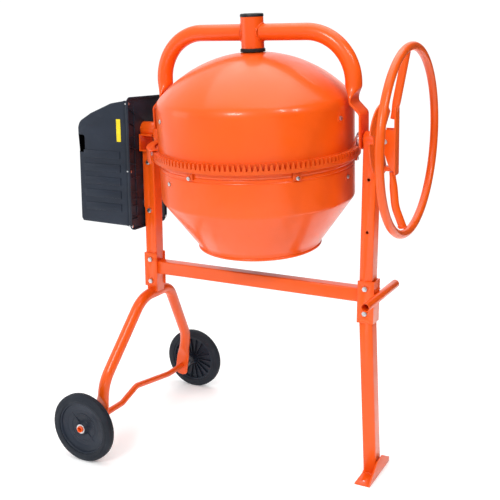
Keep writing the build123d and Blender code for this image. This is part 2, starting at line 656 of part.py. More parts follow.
with BuildPart() as drum_upper_shell:
    with BuildSketch(DRUM_SECTION):
        with BuildLine():
            Line((DRUM_R, SEAM_H), (DRUM_R, DOME_START))
            ThreePointArc((DRUM_R, DOME_START), knuckle_point(KNUCKLE_R, middle_turn),
                          knuckle_point(KNUCKLE_R, knuckle_turn))
            ThreePointArc(knuckle_point(KNUCKLE_R, knuckle_turn),
                          (CROWN_R * math.sin(crown_mid), CROWN_CENTRE + CROWN_R * math.cos(crown_mid)),
                          (DOME_HOLE_R, crown_height(DOME_HOLE_R, 0)))
            Line((DOME_HOLE_R, crown_height(DOME_HOLE_R, 0)), (DOME_HOLE_R, crown_height(DOME_HOLE_R, SHEET)))
            ThreePointArc((DOME_HOLE_R, crown_height(DOME_HOLE_R, SHEET)),
                          (inner_crown_r * math.sin(crown_mid), CROWN_CENTRE + inner_crown_r * math.cos(crown_mid)),
                          knuckle_point(inner_knuckle_r, knuckle_turn))
            ThreePointArc(knuckle_point(inner_knuckle_r, knuckle_turn), knuckle_point(inner_knuckle_r, middle_turn),
                          (DRUM_R - SHEET, DOME_START))
            Polyline((DRUM_R - SHEET, DOME_START), (DRUM_R - SHEET, SEAM_H), (DRUM_R, SEAM_H))
        make_face()
    revolve(axis=DRUM_AXIS)
    radial_cut(UPPER_BOLTS + LUG_BOLTS)
drum_upper_shell.part.label = "drum_upper_shell"
export_step(drum_upper_shell.part, "parts/drum_upper_shell.step")

LAP_TOP_H = -40.0
NECK_R = MOUTH_R + BEAD_R
cone_turn = math.atan2(DRUM_R - NECK_R, KINK_H - CONE_END_H)
corner = SHEET * math.tan(cone_turn / 2)

with BuildPart() as drum_lower_shell:
    with BuildSketch(DRUM_SECTION):
        with BuildLine():
            Polyline((DRUM_R - SHEET, LAP_TOP_H), (DRUM_R - SHEET, SEAM_H), (DRUM_R, SEAM_H), (DRUM_R, KINK_H),
                     (NECK_R, CONE_END_H), (NECK_R, MOUTH_H + BEAD_R), (NECK_R - SHEET, MOUTH_H + BEAD_R),
                     (NECK_R - SHEET, CONE_END_H + corner), (DRUM_R - SHEET, KINK_H + corner),
                     (DRUM_R - SHEET, SEAM_H - SHEET), (DRUM_R - 2 * SHEET, SEAM_H - SHEET),
                     (DRUM_R - 2 * SHEET, LAP_TOP_H), (DRUM_R - SHEET, LAP_TOP_H))
        make_face()
        with Locations((MOUTH_R, MOUTH_H + BEAD_R)):
            Circle(BEAD_R)
    revolve(axis=DRUM_AXIS)
    radial_cut(LOWER_BOLTS + LUG_BOLTS)
drum_lower_shell.part.label = "drum_lower_shell"
export_step(drum_lower_shell.part, "parts/drum_lower_shell.step")

# The ring gear is a crown wheel: its teeth point up at the pinion and stop short of the drum's wall.
SLOT_IN_R = 297.5
SLOT_TOP_W, SLOT_ROOT_W = 9.0, 4.0

with BuildPart() as ring_gear:
    with BuildSketch(TILT.offset(RING_BOTTOM_H)):
        Circle(RING_OUT_R)
        Circle(DRUM_R, mode=Mode.SUBTRACT)
    extrude(amount=RING_TOP_H - RING_BOTTOM_H)
    with BuildSketch(on_drum(180, RING_OUT_R + 5, 0)) as slot:
        with BuildLine():
            Polyline((-RING_TOP_H - 5, SLOT_TOP_W / 2), (-RING_TOP_H, SLOT_TOP_W / 2),
                     (-RING_ROOT_H, SLOT_ROOT_W / 2), (-RING_ROOT_H, -SLOT_ROOT_W / 2),
                     (-RING_TOP_H, -SLOT_TOP_W / 2), (-RING_TOP_H - 5, -SLOT_TOP_W / 2),
                     (-RING_TOP_H - 5, SLOT_TOP_W / 2))
        make_face()
    cutter = extrude(amount=-(RING_OUT_R + 5 - SLOT_IN_R), mode=Mode.PRIVATE)
    add([cutter.rotate(DRUM_AXIS, 360 / RING_TEETH * index) for index in range(RING_TEETH)], mode=Mode.SUBTRACT)
    for azimuth in LUG_AZIMUTHS:
        with BuildSketch(on_drum(azimuth, LUG_OUT_R, 0)):
            with Locations((-(RING_BOTTOM_H - 10.5), 0)):
                Rectangle(25, 26)
        extrude(amount=-10)
    with BuildSketch(TILT.offset(RING_BOTTOM_H - 40)):
        Circle(DRUM_R)
    extrude(amount=60, mode=Mode.SUBTRACT)
    radial_cut(LUG_BOLTS)
ring_gear.part.label = "ring_gear"
export_step(ring_gear.part, "parts/ring_gear.step")

SHAFT_FLANGE_R = 55.0
SHAFT_TOP_H = 332.0

with BuildPart() as drum_shaft:
    with BuildSketch(DRUM_SECTION):
        with BuildLine():
            Polyline((SHAFT_FLANGE_R, crown_height(SHAFT_FLANGE_R, SHEET)), (SHAFT_FLANGE_R, 229), (22, 229),
                     (18, 214), (0, 214), (0, SHAFT_TOP_H), (DRUM_SHAFT_R, SHAFT_TOP_H),
                     (DRUM_SHAFT_R, crown_height(DRUM_SHAFT_R, SHEET)))
            ThreePointArc((DRUM_SHAFT_R, crown_height(DRUM_SHAFT_R, SHEET)), (34, crown_height(34, SHEET)),
                          (SHAFT_FLANGE_R, crown_height(SHAFT_FLANGE_R, SHEET)))
        make_face()
    revolve(axis=DRUM_AXIS)
drum_shaft.part.label = "drum_shaft"
export_step(drum_shaft.part, "parts/drum_shaft.step")

with BuildPart() as shaft_nut:
    with BuildSketch(TILT.offset(BOSS_TOP_H - 40 + BEARING_W + 0.4)):
        RegularPolygon(18, 6)
        Circle(DRUM_SHAFT_R, mode=Mode.SUBTRACT)
    extrude(amount=10)
shaft_nut.part.label = "shaft_nut"
export_step(shaft_nut.part, "parts/shaft_nut.step")

# Each blade stands on two curved tabs that are bolted to the drum's wall.
BLADE_T = 4.0
BLADE_OUT_R = 287.0
BLADE_OUTLINE = [
    (BLADE_OUT_R, 60), (BLADE_OUT_R, -176), (235, -250), (180, -250), (175, -150), (190, 0), (220, 60),
    (BLADE_OUT_R, 60),
]
TAB_ARC = 8.0


def blade_tab(azimuth, low, high, inner):
    """A curved tab that lies on the inside of the wall and starts at an azimuth."""
    with BuildSketch(Plane(TILT * Rotation(0, 0, azimuth) * Rotation(90, 0, 0))) as tab:
        with Locations(((inner + DRUM_R - SHEET) / 2, (low + high) / 2)):
            Rectangle(DRUM_R - SHEET - inner, high - low)
    revolve(tab.sketch, axis=DRUM_AXIS, revolution_arc=TAB_ARC)


with BuildPart() as mixing_blades:
    for azimuth in BLADE_AZIMUTHS:
        with BuildSketch(Plane(TILT * Rotation(0, 0, azimuth) * Rotation(90, 0, 0))):
            with BuildLine():
                Polyline(BLADE_OUTLINE)
            make_face()
        extrude(amount=BLADE_T / 2, both=True)
        blade_tab(azimuth - TAB_ARC + 0.3, 48, 84, BLADE_OUT_R - 0.4)
        blade_tab(azimuth - 0.3, -125, -89, BLADE_OUT_R - 0.4)
    radial_cut(UPPER_BOLTS + LOWER_BOLTS)
mixing_blades.part.label = "mixing_blades"
export_step(mixing_blades.part, "parts/mixing_blades.step")

drum_bolt_solids = []
for azimuth, height in UPPER_BOLTS + LOWER_BOLTS:
    drum_bolt_solids.append(bolt_along(on_drum(azimuth, DRUM_R, height), 15, DRUM_BOLT_R, 6.4, 4.2))
for azimuth, height in LUG_BOLTS:
    drum_bolt_solids.append(bolt_along(on_drum(azimuth, LUG_OUT_R, height), 20.6, DRUM_BOLT_R, 6.4, 4.2))
drum_bolts = Compound(children=drum_bolt_solids)
drum_bolts.label = "drum_bolts"
export_step(drum_bolts, "parts/drum_bolts.step")

# =====================================================================================
# Drive: pinion, its shaft and pulley, belt, motor
# =====================================================================================
PINION_IN, PINION_OUT = -299.0, -326.0
PINION_ROOT_R, PINION_TIP_R = 26.5, 35.0

with BuildPart() as pinion:
    with BuildSketch(TILT_END.offset(PINION_OUT)):
        Circle(PINION_ROOT_R + 0.3)
        with Locations([Location((0, 0, 0), (0, 0, 270 + 360 / PINION_TEETH * index)) for index in range(PINION_TEETH)]):
            Polygon((PINION_ROOT_R - 1, -3.6), (PINION_ROOT_R, -3.6), (PINION_PITCH_R, -2.7), (PINION_TIP_R, -1.4),
                    (PINION_TIP_R, 1.4), (PINION_PITCH_R, 2.7), (PINION_ROOT_R, 3.6), (PINION_ROOT_R - 1, 3.6),
                    align=None)
        Circle(PINION_SHAFT_R, mode=Mode.SUBTRACT)
    extrude(amount=PINION_IN - PINION_OUT)
pinion.part.label = "pinion"
export_step(pinion.part, "parts/pinion.step")

PULLEY_HALF = 8.0

with BuildPart() as pinion_shaft:
    with BuildSketch(TILT_END.offset(PULLEY_X - PULLEY_HALF - 4)):
        Circle(PINION_SHAFT_R)
    extrude(amount=PINION_IN + 1 - PULLEY_X + PULLEY_HALF + 4)
pinion_shaft.part.label = "pinion_shaft"
export_step(pinion_shaft.part, "parts/pinion_shaft.step")

with BuildPart() as large_pulley:
    with BuildSketch(TILT_END.offset(PULLEY_X - PULLEY_HALF)):
        Circle(LARGE_PULLEY_R)
        Circle(LARGE_PULLEY_R - 7, mode=Mode.SUBTRACT)
        Circle(16)
        for angle in range(0, 360, 60):
            with Locations(Location((0, 0, 0), (0, 0, angle))):
                with Locations(((LARGE_PULLEY_R + 5) / 2, 0)):
                    Rectangle(LARGE_PULLEY_R - 15, 9)
        Circle(PINION_SHAFT_R, mode=Mode.SUBTRACT)
    extrude(amount=2 * PULLEY_HALF)
large_pulley.part.label = "large_pulley"
export_step(large_pulley.part, "parts/large_pulley.step")

MOTOR_Y = 27.0
MOTOR_FACE_X = -445.0
MOTOR_BACK_X = -570.0
STUD_SPOTS = [(MOTOR_Y + dy, MOTOR_Z + dz) for dy in (-40, 40) for dz in (-25, 25)]
STUD_R = 6.0
MOTOR_PLATE_X = LEFT_POST_OUT
MOTOR_PLATE_T = 3.0
PAD_R = 9.0

with BuildPart() as motor_plate:
    with BuildSketch(END.offset(MOTOR_PLATE_X)) as plate_face:
        with Locations((MOTOR_Y, (758 + 935) / 2)):
            Rectangle(94, 935 - 758)
        fillet(plate_face.vertices().group_by(Axis.Y)[0].sort_by(Axis.X)[-1], 15)
    extrude(amount=-MOTOR_PLATE_T)
motor_plate.part.label = "motor_plate"
export_step(motor_plate.part, "parts/motor_plate.step")

SMALL_SHAFT_R = 6.0

with BuildPart() as motor_body:
    with BuildSketch(END.offset(MOTOR_BACK_X)):
        with Locations((MOTOR_Y, MOTOR_Z)):
            Circle(MOTOR_R)
    extrude(amount=MOTOR_FACE_X - MOTOR_BACK_X)
    chamfer(motor_body.edges().group_by(Axis.X)[0], 8)
    with BuildSketch(END.offset(MOTOR_FACE_X - 12)):
        with Locations(*STUD_SPOTS):
            Circle(STUD_R)
    extrude(amount=MOTOR_PLATE_X - MOTOR_PLATE_T - MOTOR_FACE_X + 12)
    with BuildSketch(END.offset(MOTOR_FACE_X)):
        with Locations((MOTOR_Y, MOTOR_Z)):
            Circle(SMALL_SHAFT_R + SHAFT_PLAY)
    extrude(amount=-20, mode=Mode.SUBTRACT)
motor_body.part.label = "motor_body"
export_step(motor_body.part, "parts/motor_body.step")

with BuildPart() as motor_shaft:
    with BuildSketch(END.offset(MOTOR_FACE_X - 19)):
        with Locations((MOTOR_Y, MOTOR_Z)):
            Circle(SMALL_SHAFT_R)
    extrude(amount=PULLEY_X + PULLEY_HALF - MOTOR_FACE_X + 19)
    with BuildSketch(END.offset(PULLEY_X - PULLEY_HALF)):
        with Locations((MOTOR_Y, MOTOR_Z)):
            Circle(SMALL_PULLEY_R)
    extrude(amount=2 * PULLEY_HALF)
motor_shaft.part.label = "motor_shaft"
export_step(motor_shaft.part, "parts/motor_shaft.step")

BELT_W, BELT_T = 12.0, 3.2


def belt_loop(gap):
    """Both pulleys' circles, grown by a gap and wrapped in one closed loop."""
    with BuildSketch(TRUNNION.offset(PULLEY_X - BELT_W / 2)) as loop:
        Circle(LARGE_PULLEY_R + gap)
        with Locations((MOTOR_Y, MOTOR_Z - TILT_Z)):
            Circle(SMALL_PULLEY_R + gap)
        make_hull()
    return loop.sketch


with BuildPart() as drive_belt:
    extrude(belt_loop(PLAY + BELT_T), amount=BELT_W)
    extrude(belt_loop(PLAY), amount=BELT_W, mode=Mode.SUBTRACT)
drive_belt.part.label = "drive_belt"
export_step(drive_belt.part, "parts/drive_belt.step")

# =====================================================================================
# Motor box
# =====================================================================================
BOX_WALL = 3.0
COVER_X = -415.0
COVER_BOTTOM, COVER_TOP = 703.0, 1102.0
GROOVE_LOW, GROOVE_HIGH = 939.0, 985.0
GROOVE_X = -583.0
COVER_OUTLINE = [
    (COVER_X, COVER_TOP), (-425.5, 1101), (-472, 1092.5), (-511, 1080), (-552, 1060), (-598, 1033), (-605, 1013),
    (-605, GROOVE_HIGH), (GROOVE_X, GROOVE_HIGH), (GROOVE_X, GROOVE_LOW), (-603, GROOVE_LOW), (BOX_LEFT, 718),
    (-600, 709), (COVER_X, COVER_BOTTOM),
]
SCREW_HEIGHTS = [1092.0, 881.0, 705.0]
SCREW_YS = [BOX_Y - BOX_W / 2 + 7, BOX_Y + BOX_W / 2 - 7]
SCREW_SPOTS = [(y, z) for y in SCREW_YS for z in SCREW_HEIGHTS]
RIB_HEIGHTS = [990.0, 950.0, 860.0, 790.0, 735.0]

with BuildPart() as box_inner_shell:
    with BuildSketch(END.offset(BOX_FACE_X)):
        with Locations((BOX_Y, (BOX_TOP + BOX_BOTTOM) / 2)):
            RectangleRounded(BOX_W, BOX_TOP - BOX_BOTTOM, 20)
        with Locations((0, TILT_Z)):
            Circle(LEFT_HOUSING_R + PLAY, mode=Mode.SUBTRACT)
    extrude(amount=-BOX_WALL)
    with BuildSketch(END.offset(BOX_FACE_X - BOX_WALL)):
        with Locations((BOX_Y, (COVER_TOP + COVER_BOTTOM) / 2)):
            Rectangle(COVER_W, COVER_TOP - COVER_BOTTOM)
            Rectangle(COVER_W - 2 * BOX_WALL, COVER_TOP - COVER_BOTTOM - 2 * BOX_WALL, mode=Mode.SUBTRACT)
    extrude(amount=COVER_X - BOX_FACE_X + BOX_WALL)
    with BuildSketch(END.offset(BOX_FACE_X)):
        for height in RIB_HEIGHTS:
            with Locations((-64, height)):
                Rectangle(48, 3)
        with Locations(*STUD_SPOTS):
            Circle(PAD_R)
    extrude(amount=MOTOR_PLATE_X - MOTOR_PLATE_T - BOX_FACE_X)
    with BuildSketch(END.offset(BOX_FACE_X + 10)):
        with Locations(*STUD_SPOTS):
            Circle(STUD_R)
    extrude(amount=-20, mode=Mode.SUBTRACT)
    with BuildSketch(END.offset(BOX_FACE_X)):
        with Locations(*SCREW_SPOTS):
            Circle(2.6)
    extrude(amount=-BOX_WALL, mode=Mode.SUBTRACT)
box_inner_shell.part.label = "box_inner_shell"
export_step(box_inner_shell.part, "parts/box_inner_shell.step")

RIB_ROWS = [930.0, 887.0, 845.0, 803.0, 760.0]
INLET_X, INLET_Z, INLET_R = -520.0, 770.0, 22.0
COVER_FRONT, COVER_BACK = BOX_Y - COVER_W / 2, BOX_Y + COVER_W / 2

with BuildPart() as box_outer_cover:
    with BuildSketch(SIDE.offset(-COVER_FRONT)):
        with BuildLine():
            Polyline(COVER_OUTLINE + COVER_OUTLINE[:1])
        make_face()
    extrude(amount=-COVER_W)
    with BuildSketch(SIDE.offset(-COVER_FRONT - BOX_WALL)) as hollow:
        with BuildLine():
            Polyline(COVER_OUTLINE + COVER_OUTLINE[:1])
        make_face()
        offset(amount=-BOX_WALL, mode=Mode.REPLACE)
        with Locations((COVER_X - BOX_WALL, (COVER_TOP + COVER_BOTTOM) / 2)):
            Rectangle(2.2 * BOX_WALL, COVER_TOP - COVER_BOTTOM - 2 * BOX_WALL)
    extrude(amount=-COVER_W + 2 * BOX_WALL, mode=Mode.SUBTRACT)
    for face_y, out, heights in ((-COVER_FRONT, 2.0, RIB_ROWS), (-COVER_BACK, -2.0, RIB_ROWS[:3])):
        with BuildSketch(SIDE.offset(face_y)):
            for height in heights:
                with Locations((-512, height)):
                    Rectangle(140, 3.5)
        extrude(amount=out)
    with BuildSketch(SIDE.offset(-COVER_BACK + 10)):
        with Locations((INLET_X, INLET_Z)):
            Circle(INLET_R - 3)
    extrude(amount=-20, mode=Mode.SUBTRACT)
box_outer_cover.part.label = "box_outer_cover"
export_step(box_outer_cover.part, "parts/box_outer_cover.step")

screw_solids = [
    bolt_along(Plane(END.offset(BOX_FACE_X) * Pos(y, z, 0)), 12, 2.5, 5.0, 3.2, nut=False) for y, z in SCREW_SPOTS
]
box_screws = Compound(children=screw_solids)
box_screws.label = "box_screws"
export_step(box_screws, "parts/box_screws.step")

SWITCH_X = -599.0
SWITCH_YS = (-6.0, 26.0)
SWITCH_Z = (GROOVE_LOW + GROOVE_HIGH) / 2
BUTTON_R = 8.0

with BuildPart() as switch_housing:
    with BuildSketch(END.offset(GROOVE_X)):
        with Locations((10, SWITCH_Z)):
            RectangleRounded(80, 38, 4)
    extrude(amount=SWITCH_X - GROOVE_X)
    with BuildSketch(END.offset(SWITCH_X)):
        with Locations((SWITCH_YS[0], SWITCH_Z), (SWITCH_YS[1], SWITCH_Z)):
            Circle(BUTTON_R + PLAY)
    extrude(amount=11, mode=Mode.SUBTRACT)
switch_housing.part.label = "switch_housing"
export_step(switch_housing.part, "parts/switch_housing.step")

for name, y in (("start_button", SWITCH_YS[0]), ("stop_button", SWITCH_YS[1])):
    with BuildPart() as button:
        with BuildSketch(END.offset(SWITCH_X + 7)):
            with Locations((y, SWITCH_Z)):
                Circle(BUTTON_R)
        extrude(amount=-12)
        fillet(button.edges().group_by(Axis.X)[0], 1.2)
    button.part.label = name
    export_step(button.part, f"parts/{name}.step")

INLET_DEPTH = 13.0

with BuildPart() as power_inlet:
    with BuildSketch(SIDE.offset(-COVER_BACK)):
        with Locations((INLET_X, INLET_Z)):
            Circle(INLET_R)
    extrude(amount=-3)
    with BuildSketch(SIDE.offset(-COVER_BACK)):
        with Locations((INLET_X, INLET_Z)):
            Circle(INLET_R - 1.5)
            Circle(INLET_R - 4.5, mode=Mode.SUBTRACT)
    extrude(amount=-INLET_DEPTH)
    with BuildSketch(SIDE.offset(-COVER_BACK)):
        with Locations((INLET_X, INLET_Z)):
            with PolarLocations(9, 3, start_angle=90):
                Circle(2.4)
    extrude(amount=-INLET_DEPTH + 2)
    with BuildSketch(SIDE.offset(-COVER_BACK + BOX_WALL)):
        with Locations((INLET_X, INLET_Z)):
            Circle(INLET_R - 3.1)
    extrude(amount=-BOX_WALL)
power_inlet.part.label = "power_inlet"
export_step(power_inlet.part, "parts/power_inlet.step")

with BuildPart() as label_strip:
    with BuildSketch(SIDE.offset(-COVER_FRONT)):
        with Locations((-443, 1008.5)):
            RectangleRounded(16, 71, 2)
    extrude(amount=0.6)
label_strip.part.label = "label_strip"
export_step(label_strip.part, "parts/label_strip.step")

# =====================================================================================
# Hand wheel
# =====================================================================================
HUB_T = 4.0
HUB_TOP_H, HUB_BOTTOM_H = 94.0, -95.0
SPOKE_R = 11.5

RIM_SECTION = Plane(TILT_SIDE * Pos(RIM_X, RIM_R, 0))
RIM_AXIS = Axis(TILT.origin, TILT.x_dir)
RIM_WALL = 2.0

with BuildPart() as rim_outside:
    with BuildSketch(RIM_SECTION):
        Circle(RIM_TUBE_R)
    revolve(axis=RIM_AXIS)

with BuildPart() as wheel_rim:
    add(rim_outside.part)
    with BuildSketch(RIM_SECTION):
        Circle(RIM_TUBE_R - RIM_WALL)
    revolve(axis=RIM_AXIS, mode=Mode.SUBTRACT)
wheel_rim.part.label = "wheel_rim"
export_step(wheel_rim.part, "parts/wheel_rim.step")

with BuildPart() as wheel_hub:
    with BuildSketch(TILT_END.offset(HUB_WEB_X)):
        with Locations((0, (HUB_TOP_H + HUB_BOTTOM_H) / 2)):
            RectangleRounded(2 * HUB_HALF, HUB_TOP_H - HUB_BOTTOM_H, 6)
    extrude(amount=HUB_T)
    for flange_y in (HUB_HALF, -HUB_HALF + HUB_T):
        with BuildSketch(TILT_SIDE.offset(flange_y)):
            with BuildLine():
                Polyline((HUB_WEB_X, 33), (399, 33), (399, -22), (417, -71), (HUB_WEB_X, -84), (HUB_WEB_X, 33))
            make_face()
        extrude(amount=-HUB_T)
    with BuildSketch(Plane(TILT_SIDE * Pos(HUB_PIN_X, 0, 0))):
        Circle(4 + SHAFT_PLAY)
    extrude(amount=HUB_HALF + 5, both=True, mode=Mode.SUBTRACT)
wheel_hub.part.label = "wheel_hub"
export_step(wheel_hub.part, "parts/wheel_hub.step")


def spoke(route):
    """A round tube along a route in the wheel's middle plane."""
    with BuildSketch(Plane(route @ 0, z_dir=route % 0)) as tube:
        Circle(SPOKE_R)
        Circle(SPOKE_R - 2, mode=Mode.SUBTRACT)
    sweep(tube.sketch, path=route)


with BuildPart() as wheel_spokes:
    with BuildLine(TILT_SIDE) as upper_route:
        Line((423, 62), (459, 253))
    spoke(upper_route.wires()[0])
    with BuildLine(TILT_SIDE) as lower_route:
        FilletPolyline((421.5, -86.5), (431, -187), (458, -256), radius=120)
    spoke(lower_route.wires()[0])
    with BuildSketch(TILT_END.offset(HUB_WEB_X)):
        with Locations((0, (HUB_TOP_H + HUB_BOTTOM_H) / 2)):
            Rectangle(2 * HUB_HALF, HUB_TOP_H - HUB_BOTTOM_H)
    extrude(amount=10, mode=Mode.SUBTRACT)
    add(rim_outside.part, mode=Mode.SUBTRACT)
    with BuildSketch(TILT_END.offset(HUB_WEB_X - 30)):
        Circle(RIM_R)
    extrude(amount=80, mode=Mode.INTERSECT)
wheel_spokes.part.label = "wheel_spokes"
export_step(wheel_spokes.part, "parts/wheel_spokes.step")

TOOTH_X = LOCK_PLATE_X + LOCK_T + 1.2

with BuildPart() as lock_tooth:
    with BuildSketch(TILT_END.offset(TOOTH_X)):
        with Locations((0, -78)):
            RectangleRounded(18, 14, 2)
    extrude(amount=HUB_WEB_X - TOOTH_X)
    add(wheel_spokes.part, mode=Mode.SUBTRACT)
lock_tooth.part.label = "lock_tooth"
export_step(lock_tooth.part, "parts/lock_tooth.step")

SPRING_R, SPRING_WIRE_R = 9.0, 1.2
SPRING_FROM = HUB_PIN_X + 12.4

# The coil spring between the trunnion and the hub's web, as the sleeve that its turns fill.
lock_spring = ring_solid(TILT_END.offset(SPRING_FROM), SPRING_R + SPRING_WIRE_R, SPRING_R - SPRING_WIRE_R,
                         HUB_WEB_X - SPRING_FROM)
lock_spring.label = "lock_spring"
export_step(lock_spring, "parts/lock_spring.step")
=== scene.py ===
import json
import math
import random

import bmesh
import bpy
from mathutils import Matrix, Vector


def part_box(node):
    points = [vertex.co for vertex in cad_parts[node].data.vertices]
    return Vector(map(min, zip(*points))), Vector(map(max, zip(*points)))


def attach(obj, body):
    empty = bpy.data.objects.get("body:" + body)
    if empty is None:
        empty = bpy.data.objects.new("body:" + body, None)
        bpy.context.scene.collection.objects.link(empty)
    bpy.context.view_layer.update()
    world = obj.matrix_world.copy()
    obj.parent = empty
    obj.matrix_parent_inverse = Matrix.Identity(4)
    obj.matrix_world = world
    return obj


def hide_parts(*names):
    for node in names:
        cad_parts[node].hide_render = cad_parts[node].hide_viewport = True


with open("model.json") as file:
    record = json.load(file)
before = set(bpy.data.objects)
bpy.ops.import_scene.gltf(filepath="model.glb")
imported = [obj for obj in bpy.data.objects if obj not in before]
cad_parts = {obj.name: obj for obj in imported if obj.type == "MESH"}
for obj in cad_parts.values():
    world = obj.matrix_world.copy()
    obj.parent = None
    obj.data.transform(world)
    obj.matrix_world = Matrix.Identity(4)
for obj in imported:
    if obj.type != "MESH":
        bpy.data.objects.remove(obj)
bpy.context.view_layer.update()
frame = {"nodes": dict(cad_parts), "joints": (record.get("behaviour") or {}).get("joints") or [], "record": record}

# A tip-up concrete mixer. Outlines below are in millimetres and go through MM; x is measured from the
# drum's axis, and heights on the drum and the yoke from the tilt axis.
MM = 0.001
JOINTS = {joint["name"]: joint for joint in frame["joints"]}
TILT_AT = Vector(JOINTS["drum_tilt"]["pos_m"])
SPIN_AXIS = Vector(JOINTS["drum_spin"]["axis"])
LEAN = math.atan2(-SPIN_AXIS.y, SPIN_AXIS.z)
GROUND = Matrix.Translation((TILT_AT.x, 0, 0))
TILTED = Matrix.Translation(TILT_AT) @ Matrix.Rotation(LEAN, 4, "X")
random.seed(7)

DRUM_R = 293.0
SHEET = 2.4
SHAFT_HOLE_R = 13.2
TUBE_R = 24.0
BOSS_R = 33.5
SWELL = 1.25  # a weld bead's greatest radius over its nominal one, rounded up from 1.24


# ---- materials ----
def shader(name, roughness, metallic=0.0, coat=0.0, coat_roughness=0.1):
    mat = bpy.data.materials.new(name)
    mat.use_nodes = True
    bsdf = mat.node_tree.nodes["Principled BSDF"]
    bsdf.inputs["Roughness"].default_value = roughness
    bsdf.inputs["Metallic"].default_value = metallic
    bsdf.inputs["Coat Weight"].default_value = coat
    bsdf.inputs["Coat Roughness"].default_value = coat_roughness
    bsdf.inputs["Specular IOR Level"].default_value = 0.28
    return mat, mat.node_tree, bsdf


def noise(tree, scale, detail=3.0, stretch=(1, 1, 1)):
    """Noise that sticks to the object; stretch squeezes it along an axis."""
    coords = tree.nodes.new("ShaderNodeTexCoord")
    mapping = tree.nodes.new("ShaderNodeMapping")
    mapping.inputs["Scale"].default_value = stretch
    field = tree.nodes.new("ShaderNodeTexNoise")
    field.inputs["Scale"].default_value = scale
    field.inputs["Detail"].default_value = detail
    tree.links.new(coords.outputs["Object"], mapping.inputs["Vector"])
    tree.links.new(mapping.outputs["Vector"], field.inputs["Vector"])
    return field.outputs["Fac"]


def ramp(tree, value, stops):
    """A colour ramp; stops are (position, colour)."""
    node = tree.nodes.new("ShaderNodeValToRGB")
    elements = node.color_ramp.elements
    while len(elements) < len(stops):
        elements.new(0.5)
    for element, (position, colour) in zip(elements, stops):
        element.position = position
        element.color = (*colour, 1)
    tree.links.new(value, node.inputs["Fac"])
    return node.outputs["Color"]


def spread(tree, value, low, high):
    """Noise between 0.3 and 0.7 turned into a number between low and high."""
    node = tree.nodes.new("ShaderNodeMapRange")
    node.inputs["From Min"].default_value = 0.3
    node.inputs["From Max"].default_value = 0.7
    node.inputs["To Min"].default_value = low
    node.inputs["To Max"].default_value = high
    tree.links.new(value, node.inputs["Value"])
    return node.outputs["Result"]


def blend_colours(tree, factor, first, second):
    node = tree.nodes.new("ShaderNodeMix")
    node.data_type = "RGBA"
    tree.links.new(factor, node.inputs["Factor"])
    tree.links.new(first, node.inputs["A"])
    node.inputs["B"].default_value = (*second, 1)
    return node.outputs["Result"]


def bump(tree, bsdf, layers):
    """Bumps on each other; a layer is (height, strength, distance in metres)."""
    last = None
    for height, strength, distance in layers:
        node = tree.nodes.new("ShaderNodeBump")
        node.inputs["Strength"].default_value = strength
        node.inputs["Distance"].default_value = distance
        tree.links.new(height, node.inputs["Height"])
        if last:
            tree.links.new(last, node.inputs["Normal"])
        last = node.outputs["Normal"]
    tree.links.new(last, bsdf.inputs["Normal"])


def tinted(colour, amount):
    return tuple(min(1.0, channel * amount) for channel in colour)


def paint(name, colour, roughness, coat, grain):
    """Powder coat: cloudy tone, orange peel and small scuffs."""
    mat, tree, bsdf = shader(name, roughness, coat=coat, coat_roughness=0.14)
    cloudy = ramp(tree, noise(tree, 5, 4), [(0.3, tinted(colour, 0.93)), (0.7, tinted(colour, 1.05))])
    scuffs = ramp(tree, noise(tree, 45, 6, (1, 1, 0.35)), [(0.66, (0, 0, 0)), (0.78, (0.35, 0.35, 0.35))])
    tree.links.new(blend_colours(tree, scuffs, cloudy, tinted(colour, 0.72)), bsdf.inputs["Base Color"])
    gloss = spread(tree, noise(tree, 22, 5), roughness - 0.05, roughness + 0.09)
    tree.links.new(gloss, bsdf.inputs["Roughness"])
    orange_peel = (noise(tree, 260, 2), grain, 0.0004)
    waviness = (noise(tree, 14, 2), 0.12, 0.0012)
    bump(tree, bsdf, [orange_peel, waviness])
    return mat


DUST = (0.10, 0.105, 0.115)


def plastic(name, colour, roughness, grain=0.25):
    """Moulded plastic: fine spark grain, flow marks and dust in patches."""
    mat, tree, bsdf = shader(name, roughness)
    flow_tones = [(0.3, tinted(colour, 0.8)), (0.7, tinted(colour, 1.25))]
    flow = ramp(tree, noise(tree, 7, 5, (1, 1, 2.5)), flow_tones)
    dust = ramp(tree, noise(tree, 26, 8), [(0.6, (0, 0, 0)), (0.85, (0.1, 0.1, 0.1))])
    tree.links.new(blend_colours(tree, dust, flow, DUST), bsdf.inputs["Base Color"])
    gloss = spread(tree, noise(tree, 30, 6), roughness - 0.08, roughness + 0.1)
    tree.links.new(gloss, bsdf.inputs["Roughness"])
    bump(tree, bsdf, [(noise(tree, 900, 2), grain, 0.0003), (noise(tree, 40, 3), 0.1, 0.0008)])
    return mat


def metal(name, colour, roughness, stretch=(1, 1, 1)):
    """Bare or plated metal: drawn streaks, blotches and fine pits."""
    mat, tree, bsdf = shader(name, roughness, metallic=1.0)
    blotches = ramp(tree, noise(tree, 60, 5), [(0.3, tinted(colour, 0.75)), (0.7, tinted(colour, 1.1))])
    tree.links.new(blotches, bsdf.inputs["Base Color"])
    tree.links.new(spread(tree, noise(tree, 160, 5, stretch), roughness - 0.1, roughness + 0.15),
                   bsdf.inputs["Roughness"])
    bump(tree, bsdf, [(noise(tree, 500, 3, stretch), 0.2, 0.0002)])
    return mat


